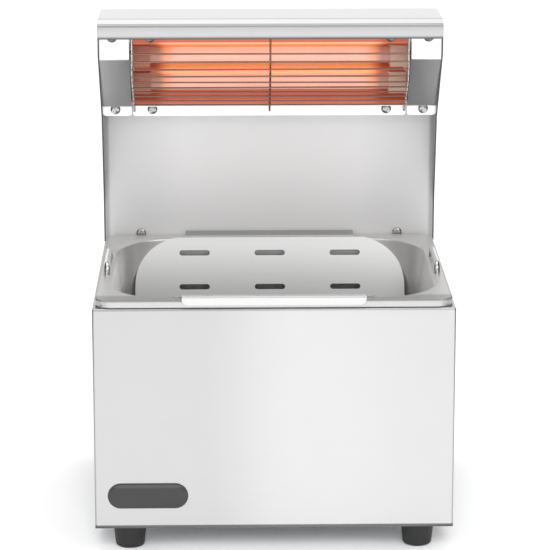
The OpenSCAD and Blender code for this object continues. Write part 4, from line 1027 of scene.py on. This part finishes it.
def screwHead(diameter, shape):
    # a domed head on z = 0, with a cross recess
    R, H, brim = diameter / 2, diameter * shape["dome"], shape["brim"]
    shank, sunk = R * shape["shank"], -shape["sunk"]
    profile = [(0, sunk), (shank, sunk), (shank, 0), (R * 0.96, 0), (R, 0.12 * H)]
    for a in range(12, 85, 12):
        s, c = sinCos(a)
        profile.append((R * c ** 0.8, H * (brim + (1 - brim) * s)))
    profile.append((0, H))
    head = newObject("head", lathe("head", profile, (0, 0, 0), segments=shape["segments"]))
    long, thin = diameter * shape["recess"], diameter * shape["slot"]
    for x, y in ((long, thin), (thin, long)):
        points = [(sx * x * k, sy * y, H * share) for share, k in shape["cut"]
                  for sx, sy in ((-1, -1), (1, -1), (1, 1), (-1, 1))]
        tool = newObject("cutter", meshOf("cutter", points, [
            (0, 3, 2, 1), (4, 5, 6, 7), (0, 1, 5, 4), (1, 2, 6, 5), (2, 3, 7, 6), (3, 0, 4, 7)]))
        cut = head.modifiers.new("recess", "BOOLEAN")
        cut.operation, cut.object, cut.solver = "DIFFERENCE", tool, "EXACT"
    done = bakedMesh(head)
    for o in [head] + [m.object for m in head.modifiers]:
        bpy.data.objects.remove(o)
    return done


screwSets = [  # node, piece, head in mm, facing, finish
    ("head_screws_upper", "upperHeadScrews", 9.8, "front", "shadedScrew"),
    ("head_screws_lower", "lowerHeadScrews", 9.8, "front", "screw"),
    ("panel_foot_screws", "panelFootScrews", 9.8, "front", "screw"),
    ("back_cover_screws", "backCoverScrews", 7.4, "back", "screw"),
    ("base_screws", "baseScrews", 7.4, "down", "screw"),
    ("inlet_screws", "inletScrews", 5.4, "back", "screw"),
    ("foot_screws", "footScrews", 9.4, "down", "screw"),
    ("terminal_block_screws", "blockScrews", 5.0, "back", "screw"),
]


def islands(node):
    # the separate solids of a node, as boxes
    mesh = nodeCopy(node)
    shape = bmesh.new()
    shape.from_mesh(mesh)
    bpy.data.meshes.remove(mesh)
    seen, boxes = set(), []
    for vert in shape.verts:
        if vert in seen:
            continue
        group = [vert]
        seen.add(vert)
        for v in group:
            joined = [e.other_vert(v) for e in v.link_edges]
            group += [other for other in joined if other not in seen]
            seen.update(joined)
        boxes.append([Vector([end(v.co[k] for v in group) for k in range(3)]) for end in (min, max)])
    shape.free()
    return boxes


def makeScrews(table, shape):
    tree = Tree("screwTree")
    head = tree.ask("Head", "Object")
    facing = tree.ask("Facing", "Vector")
    seed = tree.ask("Seed", "Int")
    source = tree.node("ObjectInfo", {"Object": head})
    spin = tree.node("FunctionNodeRandomValue", {
        "Min": 0.0, "Max": 3.14, "Seed": seed}, {"data_type": "FLOAT"})
    twist = tree.node("ShaderNodeCombineXYZ", {"Z": spin.outputs[1]})
    turned = tree.node("InstanceOnPoints", {
        "Points": tree.entry.outputs[0], "Instance": source.outputs["Geometry"], "Rotation": facing})
    spun = tree.node("RotateInstances", {
        "Instances": turned.outputs[0], "Rotation": twist.outputs[0], "Local Space": True})
    tree.end(spun.outputs[0], steels["screw"])
    turns = {"front": (math.pi / 2, 0, 0), "back": (-math.pi / 2, 0, 0), "down": (math.pi, 0, 0)}
    for number, (node, name, size, way, finish) in enumerate(table):
        rise = size * mm * shape["dome"]
        spots = []
        for low, high in islands(node):
            mid = (low + high) / 2
            if way == "front":
                spots.append((mid.x, low.y + rise, mid.z))
            elif way == "back":
                spots.append((mid.x, high.y - rise, mid.z))
            else:
                spots.append((mid.x, mid.y, low.z + rise))
        base = bpy.data.meshes.new(name)
        base.from_pydata(spots, [], [])
        maker = newObject("screwHead", screwHead(size * mm, shape))
        mesh = growMesh(name, tree, base, **{
            "Head": maker, "Facing": turns[way], "Seed": number + shape["firstSeed"]})
        bpy.data.objects.remove(maker)
        addPiece(name, mesh, steels[finish], "warmer", (node,), smooth=35)


makeScrews(screwSets, screwShape)
print("stage: screws made")


# feet and badge

footShape = {"top": 16.7 * mm, "bottom": 13.6 * mm, "edge": 3.2 * mm, "recessR": 6 * mm, "recessH": 8 * mm,
             "neck": 2.6 * mm, "soft": 0.5 * mm, "topSoft": 0.6 * mm, "flare": 0.4 * mm}


def makeFeet(shape):
    T, B, e, R, H = shape["top"], shape["bottom"], shape["edge"], shape["recessR"], shape["recessH"]
    neck, soft = shape["neck"], shape["soft"]
    for node in ("foot_front_left", "foot_front_right", "foot_rear_left", "foot_rear_right"):
        low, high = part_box(node)
        h = high.z
        profile = [(neck, H), (R, H), (R, soft), (R + shape["flare"], 0)] + arc((B - e, e), e, -90, 0, 6)
        profile += [(T - soft, h - soft), (T - shape["topSoft"], h), (neck, h), (neck, H)]
        name = "foot" + "".join(w.capitalize() for w in node.split("_")[1:])
        mesh = lathe(name, profile, ((low.x + high.x) / 2, (low.y + high.y) / 2, 0), segments=56)
        addPiece(name, mesh, finishes["footRubber"], "warmer", (node,), smooth=40)


makeFeet(footShape)

badgeShape = {"edge": 0.7 * mm, "slope": 2.0 * mm, "rise": 0.55 * mm, "steps": 18}


def makeBadge(shape):
    low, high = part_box("badge_plate")
    cx, cz = (low.x + high.x) / 2, (low.z + high.z) / 2
    halfL, halfH = (high.x - low.x) / 2, (high.z - low.z) / 2
    front, back = low.y, high.y

    def outline(inset, y):
        points = []
        for sx, start in ((1, -90), (-1, 90)):
            points += arc((cx + sx * (halfL - halfH), cz), halfH - inset, start, start + 180, shape["steps"])
        return [Vector((x, y, z)) for x, z in points]

    edge, slope, rise = shape["edge"], shape["slope"], shape["rise"]
    rings = [outline(0, back), outline(0, front + rise + 0.4 * mm),
             outline(0.15 * mm, front + rise + 0.1 * mm), outline(edge, front + rise),
             outline(edge + 0.25 * mm, front + rise * 0.8), outline(edge + slope, front + 0.1 * mm),
             outline(edge + slope + 0.5 * mm, front)]
    addPiece("badgePlate", loftRings("badgePlate", rings), finishes["badge"], "warmer",
             ("badge_plate",), smooth=30)


makeBadge(badgeShape)
print("stage: feet and badge made")


# CAD nodes that keep their own mesh get their finish

def dressNodes():
    looks = [
        (finishes["plainBrass"], ("lamp_terminals", "switch_terminals", "inlet_pins", "earth_stud")),
        (finishes["footRubber"], ("deck_grommet",)),
        (finishes["leadSheath"], ("supply_lead", "switched_lead")),
        (finishes["fibreSleeve"], ("lamp_wire_left", "lamp_wire_right")),
        (steels["screw"], ("foot_nuts",)),
    ]
    for look, nodes in looks:
        for node in nodes:
            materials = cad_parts[node].data.materials
            materials.clear()
            materials.append(look)


dressNodes()
print("stage: CAD nodes dressed")
